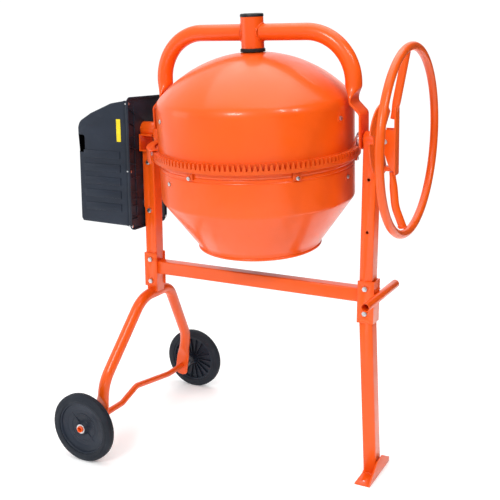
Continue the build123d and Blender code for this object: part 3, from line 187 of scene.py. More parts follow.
ORANGE = (0.85, 0.098, 0.004)
MATERIALS = {
    "orange_paint": paint("orange_paint", ORANGE, 0.33, 0.34, 0.10),
    "gear_paint": paint("gear_paint", tinted(ORANGE, 0.86), 0.46, 0.2, 0.5),
    "zinc": metal("zinc", (0.66, 0.67, 0.69), 0.32),
    "steel": metal("steel", (0.52, 0.53, 0.55), 0.3, (8, 1, 1)),
    "cast_iron": metal("cast_iron", (0.16, 0.16, 0.17), 0.5),
    "motor_alloy": metal("motor_alloy", (0.45, 0.46, 0.48), 0.45),
    "dark_plastic": plastic("dark_plastic", (0.013, 0.019, 0.032), 0.42),
    "black_plastic": plastic("black_plastic", (0.012, 0.012, 0.014), 0.4),
    "rubber": plastic("rubber", (0.014, 0.014, 0.015), 0.62, 0.4),
    "tyre_rubber": plastic("tyre_rubber", (0.012, 0.016, 0.024), 0.66, 0.5),
    "yellow_film": plastic("yellow_film", (0.80, 0.62, 0.02), 0.35, 0.05),
    "green_plastic": plastic("green_plastic", (0.01, 0.22, 0.05), 0.3, 0.1),
    "red_plastic": plastic("red_plastic", (0.45, 0.012, 0.012), 0.3, 0.1),
}
SLOTS = {row["node"]: row["material_slot"] for row in frame["record"]["subparts"]}

for node_name, node in frame["nodes"].items():
    node.data.materials.clear()
    node.data.materials.append(MATERIALS[SLOTS[node_name]])


# ---- mesh helpers ----
def added(name, data):
    """A new object in the scene."""
    item = bpy.data.objects.new(name, data)
    bpy.context.scene.collection.objects.link(item)
    return item


def smooth(mesh):
    mesh.polygons.foreach_set("use_smooth", [True] * len(mesh.polygons))


def dress(piece, body, slot, nodes=()):
    """Gives a finished mesh its material and its body, and hides the CAD nodes that it stands for."""
    piece.data.materials.clear()
    piece.data.materials.append(MATERIALS[slot])
    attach(piece, body)
    if nodes:
        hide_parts(*nodes)
    return piece


def mesh_piece(name, points, faces, place, sharp=38):
    """A mesh from points in millimetres, set in place, with smooth faces and sharp creases."""
    mesh = bpy.data.meshes.new(name)
    mesh.from_pydata([place @ (Vector(point) * MM) for point in points], [], faces)
    work = bmesh.new()
    work.from_mesh(mesh)
    bmesh.ops.remove_doubles(work, verts=work.verts, dist=1e-6)
    bmesh.ops.dissolve_degenerate(work, edges=work.edges, dist=1e-7)
    bmesh.ops.recalc_face_normals(work, faces=work.faces)
    work.to_mesh(mesh)
    work.free()
    smooth(mesh)
    mesh.set_sharp_from_angle(angle=math.radians(sharp))
    return added(name, mesh)


def skin(rings, loop=False):
    """Points and faces over equally long closed rings; loop joins the last ring to the first, and
    otherwise both ends are closed."""
    size = len(rings[0])
    points = [point for ring in rings for point in ring]
    faces = []
    for row in range(len(rings) if loop else len(rings) - 1):
        here, there = row * size, (row + 1) % len(rings) * size
        for column in range(size):
            beside = (column + 1) % size
            faces.append((here + column, here + beside, there + beside, there + column))
    if not loop:
        faces.append(tuple(range(size))[::-1])
        faces.append(tuple(range((len(rings) - 1) * size, len(rings) * size)))
    return points, faces


def lathe(profile, steps=96):
    """Turns a closed outline of (radius, height) round the local z axis."""
    rings = []
    for step in range(steps):
        turn = math.tau * step / steps
        rings.append([(radius * math.cos(turn), radius * math.sin(turn), height)
                      for radius, height in profile])
    return skin(rings, loop=True)


def joined(*parts):
    """Several (points, faces) pairs as one."""
    points, faces = [], []
    for more_points, more_faces in parts:
        start = len(points)
        points += list(more_points)
        faces += [tuple(start + index for index in face) for face in more_faces]
    return points, faces


def moved(part, place):
    """A (points, faces) pair moved by a matrix whose lengths are in millimetres."""
    return [tuple(place @ Vector(point)) for point in part[0]], part[1]


def block(size, edge=1.0):
    """A box about the origin with its edges bevelled."""
    work = bmesh.new()
    bmesh.ops.create_cube(work, size=1.0)
    bmesh.ops.scale(work, vec=size, verts=work.verts)
    bmesh.ops.bevel(work, geom=work.edges[:], offset=edge, segments=2, affect="EDGES", profile=0.6)
    points = [tuple(vert.co) for vert in work.verts]
    faces = [tuple(vert.index for vert in face.verts) for face in work.faces]
    work.free()
    return points, faces


def rounded_box_section(half_u, half_v, corner, per_corner=7):
    """A rectangle with round corners as a ring of points; with equal sides and corner it is a circle."""
    corner = min(corner, half_u, half_v)
    ring = []
    for start, sign_u, sign_v in ((0, 1, 1), (90, -1, 1), (180, -1, -1), (270, 1, -1)):
        for step in range(per_corner + 1):
            turn = math.radians(start + 90 * step / per_corner)
            ring.append((sign_u * (half_u - corner) + corner * math.cos(turn),
                         sign_v * (half_v - corner) + corner * math.sin(turn)))
    return ring


def rounded_route(corners, radii, step=6.0):
    """A flat route through corners, each with its own radius, as evenly spaced points."""
    corners = [Vector(corner) for corner in corners]
    stretches = []
    start = corners[0]
    for before, at, after, radius in zip(corners, corners[1:], corners[2:], radii):
        back, ahead = (before - at).normalized(), (after - at).normalized()
        half = back.angle(ahead) / 2
        reach = radius / math.tan(half)
        centre = at + (back + ahead).normalized() * radius / math.sin(half)
        first, last = at + back * reach, at + ahead * reach
        stretches.append([start, first])
        turn = math.pi - 2 * half
        count = max(6, int(radius * turn / step))
        from_centre, to_centre = first - centre, last - centre
        arc = []
        for index in range(1, count):
            share = index / count
            weight_a = math.sin((1 - share) * turn) / math.sin(turn)
            weight_b = math.sin(share * turn) / math.sin(turn)
            arc.append(centre + from_centre * weight_a + to_centre * weight_b)
        stretches.append([first, *arc, last])
        start = last
    stretches.append([start, corners[-1]])
    route = [corners[0]]
    for stretch in stretches:
        if len(stretch) == 2:
            count = max(1, int((stretch[1] - stretch[0]).length / step))
            stretch = [stretch[0].lerp(stretch[1], index / count) for index in range(count + 1)]
        route += [point for point in stretch if (point - route[-1]).length > 1e-4]
    return route


def sweep(route, across, section_at):
    """Rings along a flat route. across is the route plane's normal; section_at(point) gives a ring as
    (along across, along the in-plane side)."""
    rings = []
    for index, point in enumerate(route):
        tangent = (route[min(index + 1, len(route) - 1)] - route[max(index - 1, 0)]).normalized()
        side = tangent.cross(across)
        rings.append([tuple(point + across * u + side * v) for u, v in section_at(point)])
    return rings


def smooth_share(value, start, end):
    share = min(1.0, max(0.0, (value - start) / (end - start)))
    return share * share * (3 - 2 * share)


def circle(radius, count=32):
    turns = [math.tau * i / count for i in range(count)]
    return [(radius * math.cos(turn), radius * math.sin(turn)) for turn in turns]


def refine(node_name, width, body):
    """A copy of a CAD node with its flat faces joined, its edges rounded and its curves smooth."""
    source = frame["nodes"][node_name]
    mesh = source.data.copy()
    work = bmesh.new()
    work.from_mesh(mesh)
    bmesh.ops.remove_doubles(work, verts=work.verts, dist=2e-6)
    bmesh.ops.dissolve_limit(work, angle_limit=math.radians(0.6), verts=work.verts, edges=work.edges)
    work.to_mesh(mesh)
    work.free()
    smooth(mesh)
    piece = added(node_name + "_form", mesh)
    rounding = piece.modifiers.new("edges", "BEVEL")
    rounding.width = width * MM
    rounding.segments = 2
    rounding.limit_method = "ANGLE"
    rounding.angle_limit = math.radians(30)
    rounding.use_clamp_overlap = True
    rounding.harden_normals = True
    return dress(piece, body, SLOTS[node_name], [node_name])


def weld(name, points, place, body, radius=2.4, closed=True):
    """A rippled weld bead along a line of points."""
    curve = bpy.data.curves.new(name + "_line", "CURVE")
    curve.dimensions = "3D"
    curve.bevel_depth = radius * MM
    curve.bevel_resolution = 3
    spline = curve.splines.new("POLY")
    spline.points.add(len(points) - 1)
    for index, (target, point) in enumerate(zip(spline.points, points)):
        target.co = (*(place @ (Vector(point) * MM)), 1)
        target.radius = 1.0 + 0.16 * math.sin(index * 2.1) + random.uniform(-0.08, 0.08)
    spline.use_cyclic_u = closed
    line = added(name + "_line", curve)
    bpy.context.view_layer.update()
    mesh = bpy.data.meshes.new_from_object(line)
    bpy.data.objects.remove(line)
    smooth(mesh)
    return dress(added(name, mesh), body, "orange_paint")


# ---- drum ----
DRUM_STEPS = 224
CROWN_R, CROWN_CENTRE = 383.2, -141.3
KNUCKLE_R, DOME_START = 43.7, 89.1
SEAM_H, KINK_H, CONE_END_H, MOUTH_H = -73.0, -180.4, -323.6, -338.0
LAP_TOP_H, WALL_LOW_H = -40, -130
MOUTH_R, BEAD_R = 186.0, 4.6
NECK_R = MOUTH_R + BEAD_R
KNUCKLE_X = DRUM_R - KNUCKLE_R
KNUCKLE_TURN = math.atan2(KNUCKLE_X, DOME_START - CROWN_CENTRE)


def dome_line(depth, steps):
    """The dome from the cylinder to the shaft hole, depth below its outer face."""
    line = []
    for step in range(steps + 1):
        turn = math.pi / 2 + (KNUCKLE_TURN - math.pi / 2) * step / steps
        radius = KNUCKLE_R - depth
        line.append((KNUCKLE_X + radius * math.sin(turn), DOME_START + radius * math.cos(turn)))
    hole_turn = math.asin(SHAFT_HOLE_R / CROWN_R)
    for step in range(1, 2 * steps + 1):
        turn = KNUCKLE_TURN + (hole_turn - KNUCKLE_TURN) * step / (2 * steps)
        radius = CROWN_R - depth
        line.append((radius * math.sin(turn), CROWN_CENTRE + radius * math.cos(turn)))
    return line


def make_upper_shell():
    outer = [(DRUM_R, SEAM_H + 1.2), (DRUM_R, SEAM_H + 6), (DRUM_R, -20), (DRUM_R, 30), *dome_line(0, 20)]
    inner = [(DRUM_R - SHEET, SEAM_H + 1.2), (DRUM_R - SHEET, -20), (DRUM_R - SHEET, 30),
             *dome_line(SHEET, 20)]
    outline = [(DRUM_R - 0.6, SEAM_H + 0.6), *outer, *reversed(inner)]
    piece = mesh_piece("drum_top", *lathe(outline, DRUM_STEPS), TILTED, sharp=50)
    dress(piece, "drum", "orange_paint", ["drum_upper_shell"])


def make_lower_shell():
    """The lower shell: lapped seam, a rolled stiffening line under it, soft kink, neck and rolled mouth."""
    turn = math.atan2(DRUM_R - NECK_R, KINK_H - CONE_END_H)
    outer = [(DRUM_R - SHEET, LAP_TOP_H), (DRUM_R - SHEET, SEAM_H - 0.2), (DRUM_R - 0.9, SEAM_H - 0.6),
             (DRUM_R, SEAM_H - 1.8), (DRUM_R, SEAM_H - 8.2), (DRUM_R - 1.2, SEAM_H - 9.6),
             (DRUM_R - 1.8, SEAM_H - 11), (DRUM_R - 1.2, SEAM_H - 12.4), (DRUM_R, SEAM_H - 13.8),
             (DRUM_R, WALL_LOW_H)]
    kink_radius = 14.0
    reach = kink_radius * math.tan(turn / 2)
    for step in range(9):
        angle = turn * step / 8
        outer.append((DRUM_R - kink_radius + kink_radius * math.cos(angle),
                      KINK_H + reach - kink_radius * math.sin(angle)))
    cone = Vector((NECK_R - DRUM_R, CONE_END_H - KINK_H))
    outer += [tuple(Vector((DRUM_R, KINK_H)) + cone * share) for share in (0.3, 0.6, 0.93)]
    outer += [(NECK_R + 1.6, CONE_END_H + 4), (NECK_R + 0.2, CONE_END_H - 1),
              (NECK_R - 1.4, CONE_END_H - 5)]
    bead_h = MOUTH_H + BEAD_R
    for step in range(13):
        angle = math.radians(60 - 250 * step / 12)
        outer.append((MOUTH_R + BEAD_R * math.cos(angle), bead_h + BEAD_R * math.sin(angle)))
    corner = SHEET * math.tan(turn / 2)
    inner = [(NECK_R - SHEET - 1.4, CONE_END_H - 4), (NECK_R - SHEET, CONE_END_H + corner),
             (DRUM_R - SHEET, KINK_H + corner), (DRUM_R - SHEET, WALL_LOW_H),
             (DRUM_R - SHEET, SEAM_H - SHEET),
             (DRUM_R - 2 * SHEET, SEAM_H - SHEET), (DRUM_R - 2 * SHEET, LAP_TOP_H)]
    piece = mesh_piece("drum_bottom", *lathe(outer + inner, DRUM_STEPS), TILTED, sharp=40)
    dress(piece, "drum", "orange_paint", ["drum_lower_shell"])


RING_TOP_H, RING_BOTTOM_H, RING_ROOT_H = -28.5, -57.0, -46.0
RING_OUT_R, RING_WALL_R = 311.0, 297.5
TEETH = 132
LUG_CENTRE_R, LUG_CENTRE_H = 296.6, -67.5
LUG_AZIMUTHS = [-102 + 60 * index for index in range(6)]


def make_ring_gear():
    """The crown wheel: straight radial gaps with soft corners, a plain inner wall and bolted lugs."""
    gap_line = [(-6.2, RING_TOP_H - 0.1), (-4.6, RING_TOP_H - 1.4), (-2.3, RING_ROOT_H + 1.0),
                (-1.5, RING_ROOT_H), (1.5, RING_ROOT_H), (2.3, RING_ROOT_H + 1.0), (4.6, RING_TOP_H - 1.4),
                (6.2, RING_TOP_H - 0.1)]

    def edge(radius, drop, outline):
        ring = []
        for tooth in range(TEETH):
            centre = math.pi + math.tau * tooth / TEETH
            for across, height in gap_line:
                turn = centre + math.asin(across / RING_WALL_R if outline else across / radius)
                level = min(height, RING_TOP_H - drop) if outline else RING_TOP_H - drop
                ring.append((radius * math.cos(turn), radius * math.sin(turn), level))
        return ring

    def level_edge(radius, height):
        return [(x, y, height) for x, y, _ in edge(radius, 0, False)]

    rings = [
        level_edge(DRUM_R + 0.3, RING_BOTTOM_H), level_edge(DRUM_R + 0.3, RING_TOP_H),
        edge(RING_WALL_R - 0.5, 0, False), edge(RING_WALL_R, 0, True), edge(RING_OUT_R - 1.2, 0, True),
        edge(RING_OUT_R, 1.1, True), level_edge(RING_OUT_R, RING_BOTTOM_H + 1.2),
        level_edge(RING_OUT_R - 1.2, RING_BOTTOM_H),
    ]
    parts = [skin(rings, loop=True)]
    for azimuth in LUG_AZIMUTHS:
        place = (Matrix.Rotation(math.radians(azimuth), 4, "Z")
                 @ Matrix.Translation((LUG_CENTRE_R, 0, LUG_CENTRE_H)))
        parts.append(moved(block((6.4, 25, 24), 1.6), place))
    piece = mesh_piece("crown_gear", *joined(*parts), TILTED, sharp=32)
    dress(piece, "drum", "gear_paint", ["ring_gear"])


BLADE_AZIMUTHS = [-6.0, 114.0, 234.0]
# Each blade's bolts, as (degrees from the blade, height).
BLADE_BOLTS = [(-4, 66), (4, -107)]


def make_dimples():
    """Pressed cups round the blade bolts on the drum's wall."""
    parts = []
    cup = [(8.2, 0.0), (8.6, 0.5), (11.0, 0.9), (13.4, 0.5), (14.2, -0.6), (12.0, -1.2), (8.2, -1.2)]
    for offset, height in BLADE_BOLTS:
        for azimuth in BLADE_AZIMUTHS:
            place = (Matrix.Rotation(math.radians(azimuth + offset), 4, "Z")
                     @ Matrix.Translation((DRUM_R, 0, height)) @ Matrix.Rotation(math.pi / 2, 4, "Y"))
            parts.append(moved(lathe(cup, 32), place))
    dress(mesh_piece("bolt_cups", *joined(*parts), TILTED), "drum", "orange_paint")


# ---- yoke ----
YOKE_TOP_H, YOKE_BEND_R = 296.6, 140.0
ROUND_END_H, FLAT_START_H, STRIP_END_H = 150.0, 112.0, -24.0
STRIP_W, STRIP_T = 72.0, 6.0
STRIP_CORNER_R = 14.0


def yoke_section(height, from_end):
    """Round tube above, pressed flat below; the flat end has round corners."""
    flat = 1 - smooth_share(height, FLAT_START_H, ROUND_END_H)
    half_u = TUBE_R + (STRIP_W / 2 - TUBE_R) * flat
    half_v = TUBE_R + (STRIP_T / 2 - TUBE_R) * flat**0.8
    corner = TUBE_R + (2.2 - TUBE_R) * flat**0.8
    if from_end < STRIP_CORNER_R:
        half_u -= STRIP_CORNER_R - math.sqrt(STRIP_CORNER_R**2 - (STRIP_CORNER_R - from_end) ** 2)
    return rounded_box_section(half_u, half_v, corner)


def make_yoke_arm(name, side):
    corners = [(side * 29, 0, YOKE_TOP_H), (side * 308, 0, YOKE_TOP_H), (side * 309, 0, 104),
               (side * 338, 0, 75), (side * 338, 0, STRIP_END_H)]
    route = rounded_route(corners, [YOKE_BEND_R, 16, 16], step=4.0)
    across = Vector((0, 1, 0))
    rings = sweep(route, across, lambda point: yoke_section(point.z, point.z - STRIP_END_H))
    piece = mesh_piece(f"yoke_{name}", *skin(rings), TILTED, sharp=50)
    dress(piece, "yoke", "orange_paint", [f"yoke_{name}_arm"])
    bead = []
    for step in range(72):
        turn = math.tau * step / 72
        y = (TUBE_R + 0.8) * math.cos(turn)
        x = side * math.sqrt((BOSS_R + 0.8) ** 2 - y**2)
        bead.append((x, y, YOKE_TOP_H + (TUBE_R + 0.8) * math.sin(turn)))
    weld(f"weld_boss_{name}", bead, TILTED, "yoke")


def make_boss():
    bore, low, high = 24.0, 252.0, 341.0
    tube_outline = [(bore, low), (BOSS_R - 1, low), (BOSS_R, low + 1), (BOSS_R, high - 1),
                    (BOSS_R - 1, high), (bore, high)]
    dress(mesh_piece("yoke_tube", *lathe(tube_outline), TILTED), "yoke", "orange_paint", ["yoke_boss"])
    cap = [(0.01, high + 8.3), (12, high + 8.3), (14, high + 7.2), (22, high + 7.2), (24, high + 8.4),
           (31, high + 8.4), (33.4, high + 7.2), (34.2, high + 5), (34.2, high), (20, high),
           (20, high - 6), (0.01, high - 6)]
    dress(mesh_piece("boss_cover", *lathe(cap), TILTED), "yoke", "black_plastic", ["boss_cap"])
    seal = [(27.2, 242.6), (36, 242.6), (36.8, 243.6), (36.8, 245.2), (35.6, 246.2), (36.6, 247.4),
            (36.4, 250), (34, 251.9), (27.2, 251.9)]
    dress(mesh_piece("shaft_wiper", *lathe(seal), TILTED), "yoke", "rubber", ["shaft_seal"])


# ---- hand wheel ----
RIM_X, RIM_R, RIM_TUBE_R = 469.0, 255.1, 11.8
RIM_SIDES, RIM_STEPS = 28, 160
SPOKE_R, SPOKE_BEND_R = 11.45, 120
SPOKES = [[(423, 62), (441, 157.5), (459, 253)], [(421.5, -86.5), (431, -187), (458, -256)]]


def make_rim():
    section = [(RIM_R + x, y) for x, y in circle(RIM_TUBE_R, RIM_SIDES)]
    place = TILTED @ Matrix.Translation((RIM_X * MM, 0, 0)) @ Matrix.Rotation(math.pi / 2, 4, "Y")
    piece = mesh_piece("hand_rim", *lathe(section, RIM_STEPS), place)
    dress(piece, "hand_wheel", "orange_paint", ["wheel_rim"])


def make_spokes():
    """Two tubes that are pressed flat where they lie on the hub's web, and welded to the rim."""
    parts = []
    for corners in SPOKES:
        start = abs(corners[0][1])
        route = rounded_route([(x, 0, height) for x, height in corners], [SPOKE_BEND_R], step=5.0)
        route = [point for point in route if abs(point.z) < RIM_R - 8]

        def section(point):
            pressed = 1 - smooth_share(abs(point.z), start + 8, start + 50)
            return [(u * (1 + 0.08 * pressed), v * (1 - 0.3 * pressed)) for u, v in circle(SPOKE_R)]

        parts.append(skin(sweep(route, Vector((0, 1, 0)), section)))
    piece = mesh_piece("hand_spokes", *joined(*parts), TILTED, sharp=60)
    dress(piece, "hand_wheel", "orange_paint", ["wheel_spokes"])
    for name, (_, start, end) in zip(("top", "bottom"), SPOKES):
        height = math.copysign(RIM_R - 11.5, end[1])
        centre_x = start[0] + (end[0] - start[0]) * (height - start[1]) / (end[1] - start[1])
        bead = [(centre_x + 12.2 * math.cos(math.tau * i / 40), 12.0 * math.sin(math.tau * i / 40),
                 height + math.copysign(1.5 * math.cos(2 * math.tau * i / 40), height)) for i in range(40)]
        weld(f"weld_spoke_{name}", bead, TILTED, "hand_wheel", 1.9)


COIL_R, COIL_TURNS, COIL_STEPS, WIRE_R = 9, 4.5, 150, 1.2


def make_spring():
    """The lock spring's coil, as long as the CAD spring is."""
    low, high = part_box("lock_spring")
    length = (high.x - low.x) / MM - 2 * WIRE_R
    start = (low.x - TILT_AT.x) / MM + WIRE_R
    points = []
    for step in range(COIL_STEPS):
        share = step / (COIL_STEPS - 1)
        turn = math.tau * COIL_TURNS * share
        points.append((start + length * share, COIL_R * math.cos(turn), COIL_R * math.sin(turn)))
    piece = weld("lock_coil", points, TILTED, "hand_wheel", WIRE_R / SWELL, closed=False)
    dress(piece, "hand_wheel", "steel", ["lock_spring"])


# ---- wheel frame, axle and road wheels ----
WHEEL_X, WHEEL_R, TYRE_Y = -434.0, 110.0, 334.0
AXLE_R, AXLE_END = 9.98, 355
# The wheel frame: its tube, its pressed ends, how far down the slope they reach, and their corners.
FRAME_R, PRESSED_W, PRESSED_T = 18, 48, 7
FRAME_END, FRAME_CORNER_R = 398, 15


def make_wheel_frame():
    """One bent tube with its two ends pressed flat round the axle."""
    lean = math.atan(59.0 / 371.0)
    up = Vector((math.sin(lean), 0, math.cos(lean)))
    across = Vector((math.cos(lean), 0, -math.sin(lean)))
    origin = Vector((-376.6, 0, 470.0))
    flat = [(-245, -FRAME_END), (-245, -240), (-79, 0), (79, 0), (245, -240), (245, -FRAME_END)]
    corners = [origin + Vector((0, y, 0)) + up * s for y, s in flat]
    route = rounded_route(corners, [110, 88, 88, 110], step=5.0)

    def section(point):
        along = (point - origin).dot(up)
        pressed = 1 - smooth_share(along, -328, -285)
        half_u = FRAME_R + (PRESSED_W / 2 - FRAME_R) * pressed
        half_v = FRAME_R + (PRESSED_T / 2 - FRAME_R) * pressed**0.8
        from_end = along + FRAME_END
        if from_end < FRAME_CORNER_R:
            inward = FRAME_CORNER_R - max(0.0, from_end)
            half_u -= FRAME_CORNER_R - math.sqrt(max(0.0, FRAME_CORNER_R**2 - inward**2))
        return rounded_box_section(half_u, half_v, FRAME_R + (2.5 - FRAME_R) * pressed**0.8)

    piece = mesh_piece("stand_tube", *skin(sweep(route, across, section)), GROUND, sharp=50)
    dress(piece, "root", "orange_paint", ["wheel_frame"])


def make_axle():
    """A bent tube, bored a little way in at both ends."""
    corners = [(WHEEL_X, -AXLE_END, WHEEL_R), (WHEEL_X, -133, WHEEL_R), (WHEEL_X, -48, WHEEL_R + 29),
               (WHEEL_X, 150, WHEEL_R), (WHEEL_X, AXLE_END, WHEEL_R)]
    route = rounded_route(corners, [35, 45, 120], step=6.0)
    outer = sweep(route, Vector((1, 0, 0)), lambda point: circle(AXLE_R))

    def end_rings(end, inward):
        radii = [(9.2, 0.0), (7.4, 0.0), (7.0, 0.6), (7.0, 16.0)]
        return [[(WHEEL_X + (x - WHEEL_X) * radius / AXLE_R, end + inward * depth,
                  WHEEL_R + (z - WHEEL_R) * radius / AXLE_R) for x, _, z in outer[0]]
                for radius, depth in radii]

    front, back = end_rings(-AXLE_END, 1), end_rings(AXLE_END, -1)
    rings = [*reversed(front), *outer, *back]
    dress(mesh_piece("axle_tube", *skin(rings), GROUND, sharp=45), "root", "orange_paint", ["axle"])


WHEEL_STEPS = 128
INNER_RIBS, OUTER_RIBS = 18, 4
DISC_OUTLINE = [
    (10.1, -29.5), (16, -30), (17, -29), (19.5, -7), (24, -2.4), (57, -2), (76, -2.6), (77.6, -4),
    (78.4, -11), (80, -12), (83.5, -12), (84, 0), (83.5, 12), (80, 12), (79, 11), (77.6, 5.5),
    (75, 4.2), (61, 4.0), (59, 2.6), (57, 2.2), (46, 1.8), (44.5, 2.8), (42.5, 2.8), (41, 1.6),
    (24, 0.6), (21, 3), (17.6, 12.6), (16.4, 14), (10.1, 14),
]
TYRE_OUTLINE = [
    (84, -14), (86, -15.6), (90, -16), (95, -15.6), (96, -14.8), (97, -15.4), (102, -14.6),
    (106.5, -12.2),
    (109.2, -8.6), (109.9, -5.4), (108.6, -4.9), (108.6, -4.1), (109.9, -3.6), (110, 0), (109.9, 3.6),
    (108.6, 4.1), (108.6, 4.9), (109.9, 5.4), (109.2, 8.6), (106.5, 12.2), (102, 14.6), (97, 15.4),
    (96, 14.8), (95, 15.6), (90, 16), (86, 15.6), (84, 14),
]


def make_road_wheel(name, side):
    """A ribbed disc and a solid tyre; local z points away from the machine."""
    place = (GROUND @ Matrix.Translation((WHEEL_X * MM, side * TYRE_Y * MM, WHEEL_R * MM))
             @ Matrix.Rotation(-side * math.pi / 2, 4, "X"))
    parts = [lathe(DISC_OUTLINE, WHEEL_STEPS)]
    for index in range(INNER_RIBS):
        turned = Matrix.Rotation(math.tau * index / INNER_RIBS, 4, "Z")
        parts.append(moved(block((56, 2.6, 8), 0.7), turned @ Matrix.Translation((49.5, 0, -5.6))))
    for index in range(OUTER_RIBS):
        turned = Matrix.Rotation(math.tau * (index + 0.5) / OUTER_RIBS, 4, "Z")
        parts.append(moved(block((36, 2.4, 1.6), 0.6), turned @ Matrix.Translation((40, 0, 2.0))))
    disc = mesh_piece(f"{name}_disc", *joined(*parts), place, sharp=35)
    dress(disc, f"{name}_wheel", "dark_plastic", [f"{name}_wheel_disc"])
    tyre = mesh_piece(f"{name}_ring", *lathe(TYRE_OUTLINE, WHEEL_STEPS), place, sharp=35)
    dress(tyre, f"{name}_wheel", "tyre_rubber", [f"{name}_tyre"])


# ---- motor box ----
COVER_OUTLINE = [(-415, 1102), (-472, 1092.5), (-552, 1060), (-598, 1033), (-605, 1013), (-605, 985),
                 (-583, 985), (-583, 939), (-603, 939), (-606, 716), (-600, 706), (-415, 703)]
COVER_RADII = [40, 40, 30, 12, 4, 2.5, 2.5, 4, 9, 5]
FRONT_Y, BACK_Y = -83.0, 104.0
COVER_EDGE, COVER_WALL = 5.0, 2.6
OPEN_SIDE_X = -416.5
FRONT_BANDS, BACK_BANDS = (930, 887, 845, 803, 760), (930, 887, 845)
FLANGE_LOW, FLANGE_HIGH, FLANGE_FRONT, FLANGE_BACK = 691.5, 1113.0, -93.0, 114.0
# The ribs in the flange's open side, as (height, slope).
FLANGE_RIBS = [(1070, 0.55), (1030, 0.45), (955, 0.3), (905, 0.25), (860, 0.2), (815, 0.16), (770, 0.1),
               (728, 0.05)]


def inset(ring, depth):
    """A flat closed ring moved inwards; it runs so that its inside is on the left."""
    result = []
    for index, point in enumerate(ring):
        before, after = ring[index - 1], ring[(index + 1) % len(ring)]
        run = (after - before).normalized()
        result.append(point + Vector((-run.z, 0, run.x)) * depth)
    return result


def make_cover():
    """The motor box's outer cover: a shell with soft edges, open towards the flange."""
    line = rounded_route([(x, 0, z) for x, z in COVER_OUTLINE], COVER_RADII, step=9.0)
    levels = []
    for step in range(6):
        turn = math.pi / 2 * step / 5
        levels.append((COVER_EDGE * (1 - math.sin(turn)), COVER_EDGE * (1 - math.cos(turn))))
    rings = []
    for depth, back in levels:
        rings.append([(p.x, FRONT_Y + back, p.z) for p in inset(line, depth)])
    for share in (0.25, 0.5, 0.75):
        rings.append([(p.x, FRONT_Y + (BACK_Y - FRONT_Y) * share, p.z) for p in line])
    for depth, back in reversed(levels):
        rings.append([(p.x, BACK_Y - back, p.z) for p in inset(line, depth)])
    points, faces = skin(rings)
    open_faces = [face for face in faces if min(points[i][0] for i in face) < OPEN_SIDE_X]
    piece = mesh_piece("box_cover", points, open_faces, GROUND, sharp=40)
    wall = piece.modifiers.new("wall", "SOLIDIFY")
    wall.thickness = COVER_WALL * MM
    wall.offset = -1
    dress(piece, "root", "dark_plastic", ["box_outer_cover"])


def make_cover_ribs():
    """Shallow raised bands over the cover's front, and fewer over its back."""
    parts = []
    for y, heights in ((FRONT_Y - 0.1, FRONT_BANDS), (BACK_Y + 0.1, BACK_BANDS)):
        for height in heights:
            parts.append(moved(block((142, 3.6, 25), 1.5), Matrix.Translation((-512, y, height))))
    dress(mesh_piece("cover_bands", *joined(*parts), GROUND), "root", "dark_plastic")


def make_flange():
    """The flange's lip, its step towards the cover and the deep ribs on its open side."""
    parts = []
    low, high, front, back = FLANGE_LOW, FLANGE_HIGH, FLANGE_FRONT, FLANGE_BACK
    for x, y, z, size in (
        (-400.2, (front + back) / 2, high - 3, (5.4, back - front - 34, 6)),
        (-400.2, (front + back) / 2, low + 3, (5.4, back - front - 34, 6)),
        (-400.2, front + 3, (low + high) / 2, (5.4, 6, high - low - 34)),
        (-400.2, back - 3, (low + high) / 2, (5.4, 6, high - low - 34)),
        (-400.4, -58, (low + high) / 2, (4.4, 3, high - low - 60)),
    ):
        parts.append(moved(block(size, 1.5), Matrix.Translation((x, y, z))))
    for height, slope in FLANGE_RIBS:
        place = Matrix.Translation((-398.9, -72, height)) @ Matrix.Rotation(-slope, 4, "X")
        parts.append(moved(block((6.6, 32, 2.6), 0.8), place))
    dress(mesh_piece("flange_ribs", *joined(*parts), GROUND), "root", "dark_plastic")


# ---- welds on the stand ----
def loop_round(half_y, half_z, x, z):
    """The line where a square tube along x meets a face at x."""
    return [(x, u, z + v) for u, v in rounded_box_section(half_y, half_z, 5, 3)]


def dense(ring, step=4.0):
    """Points added along a closed ring so that none are further apart than step."""
    result = []
    for first, second in zip(ring, ring[1:] + ring[:1]):
        first, second = Vector(first), Vector(second)
        count = max(1, int((second - first).length / step))
        result += [tuple(first.lerp(second, index / count)) for index in range(count)]
    return result


BEAM_H, LEG_X, FOOT_BEAD_H = 559, 392.8, 5.2
# The handle's bead lies on its bracket, level with the top of the tube.
HANDLE_BEAD_X, HANDLE_BEAD_H = 390.9, 574.2


def make_stand_welds():
    for name, x in (("left", -354.4), ("right", 342.9)):
        weld(f"weld_beam_{name}", dense(loop_round(20.4, 21.4, x, BEAM_H)), GROUND, "root", 2.0)
    leg_low = [(x + LEG_X, y, FOOT_BEAD_H) for x, y in rounded_box_section(20.4, 22.4, 4, 3)]
    weld("weld_foot", dense(leg_low), GROUND, "root", 2.2)
    handle_line = [(HANDLE_BEAD_X, y, HANDLE_BEAD_H) for y in range(-24, 25, 3)]
    weld("weld_handle", handle_line, GROUND, "root", 2.0, closed=False)


# ---- build ----
make_upper_shell()
make_lower_shell()
make_ring_gear()
make_dimples()
make_yoke_arm("left", -1)
make_yoke_arm("right", 1)
make_boss()
make_rim()
make_spokes()
make_spring()
make_wheel_frame()
make_axle()
make_road_wheel("front", -1)
make_road_wheel("rear", 1)
make_cover()
make_cover_ribs()
make_flange()
make_stand_welds()

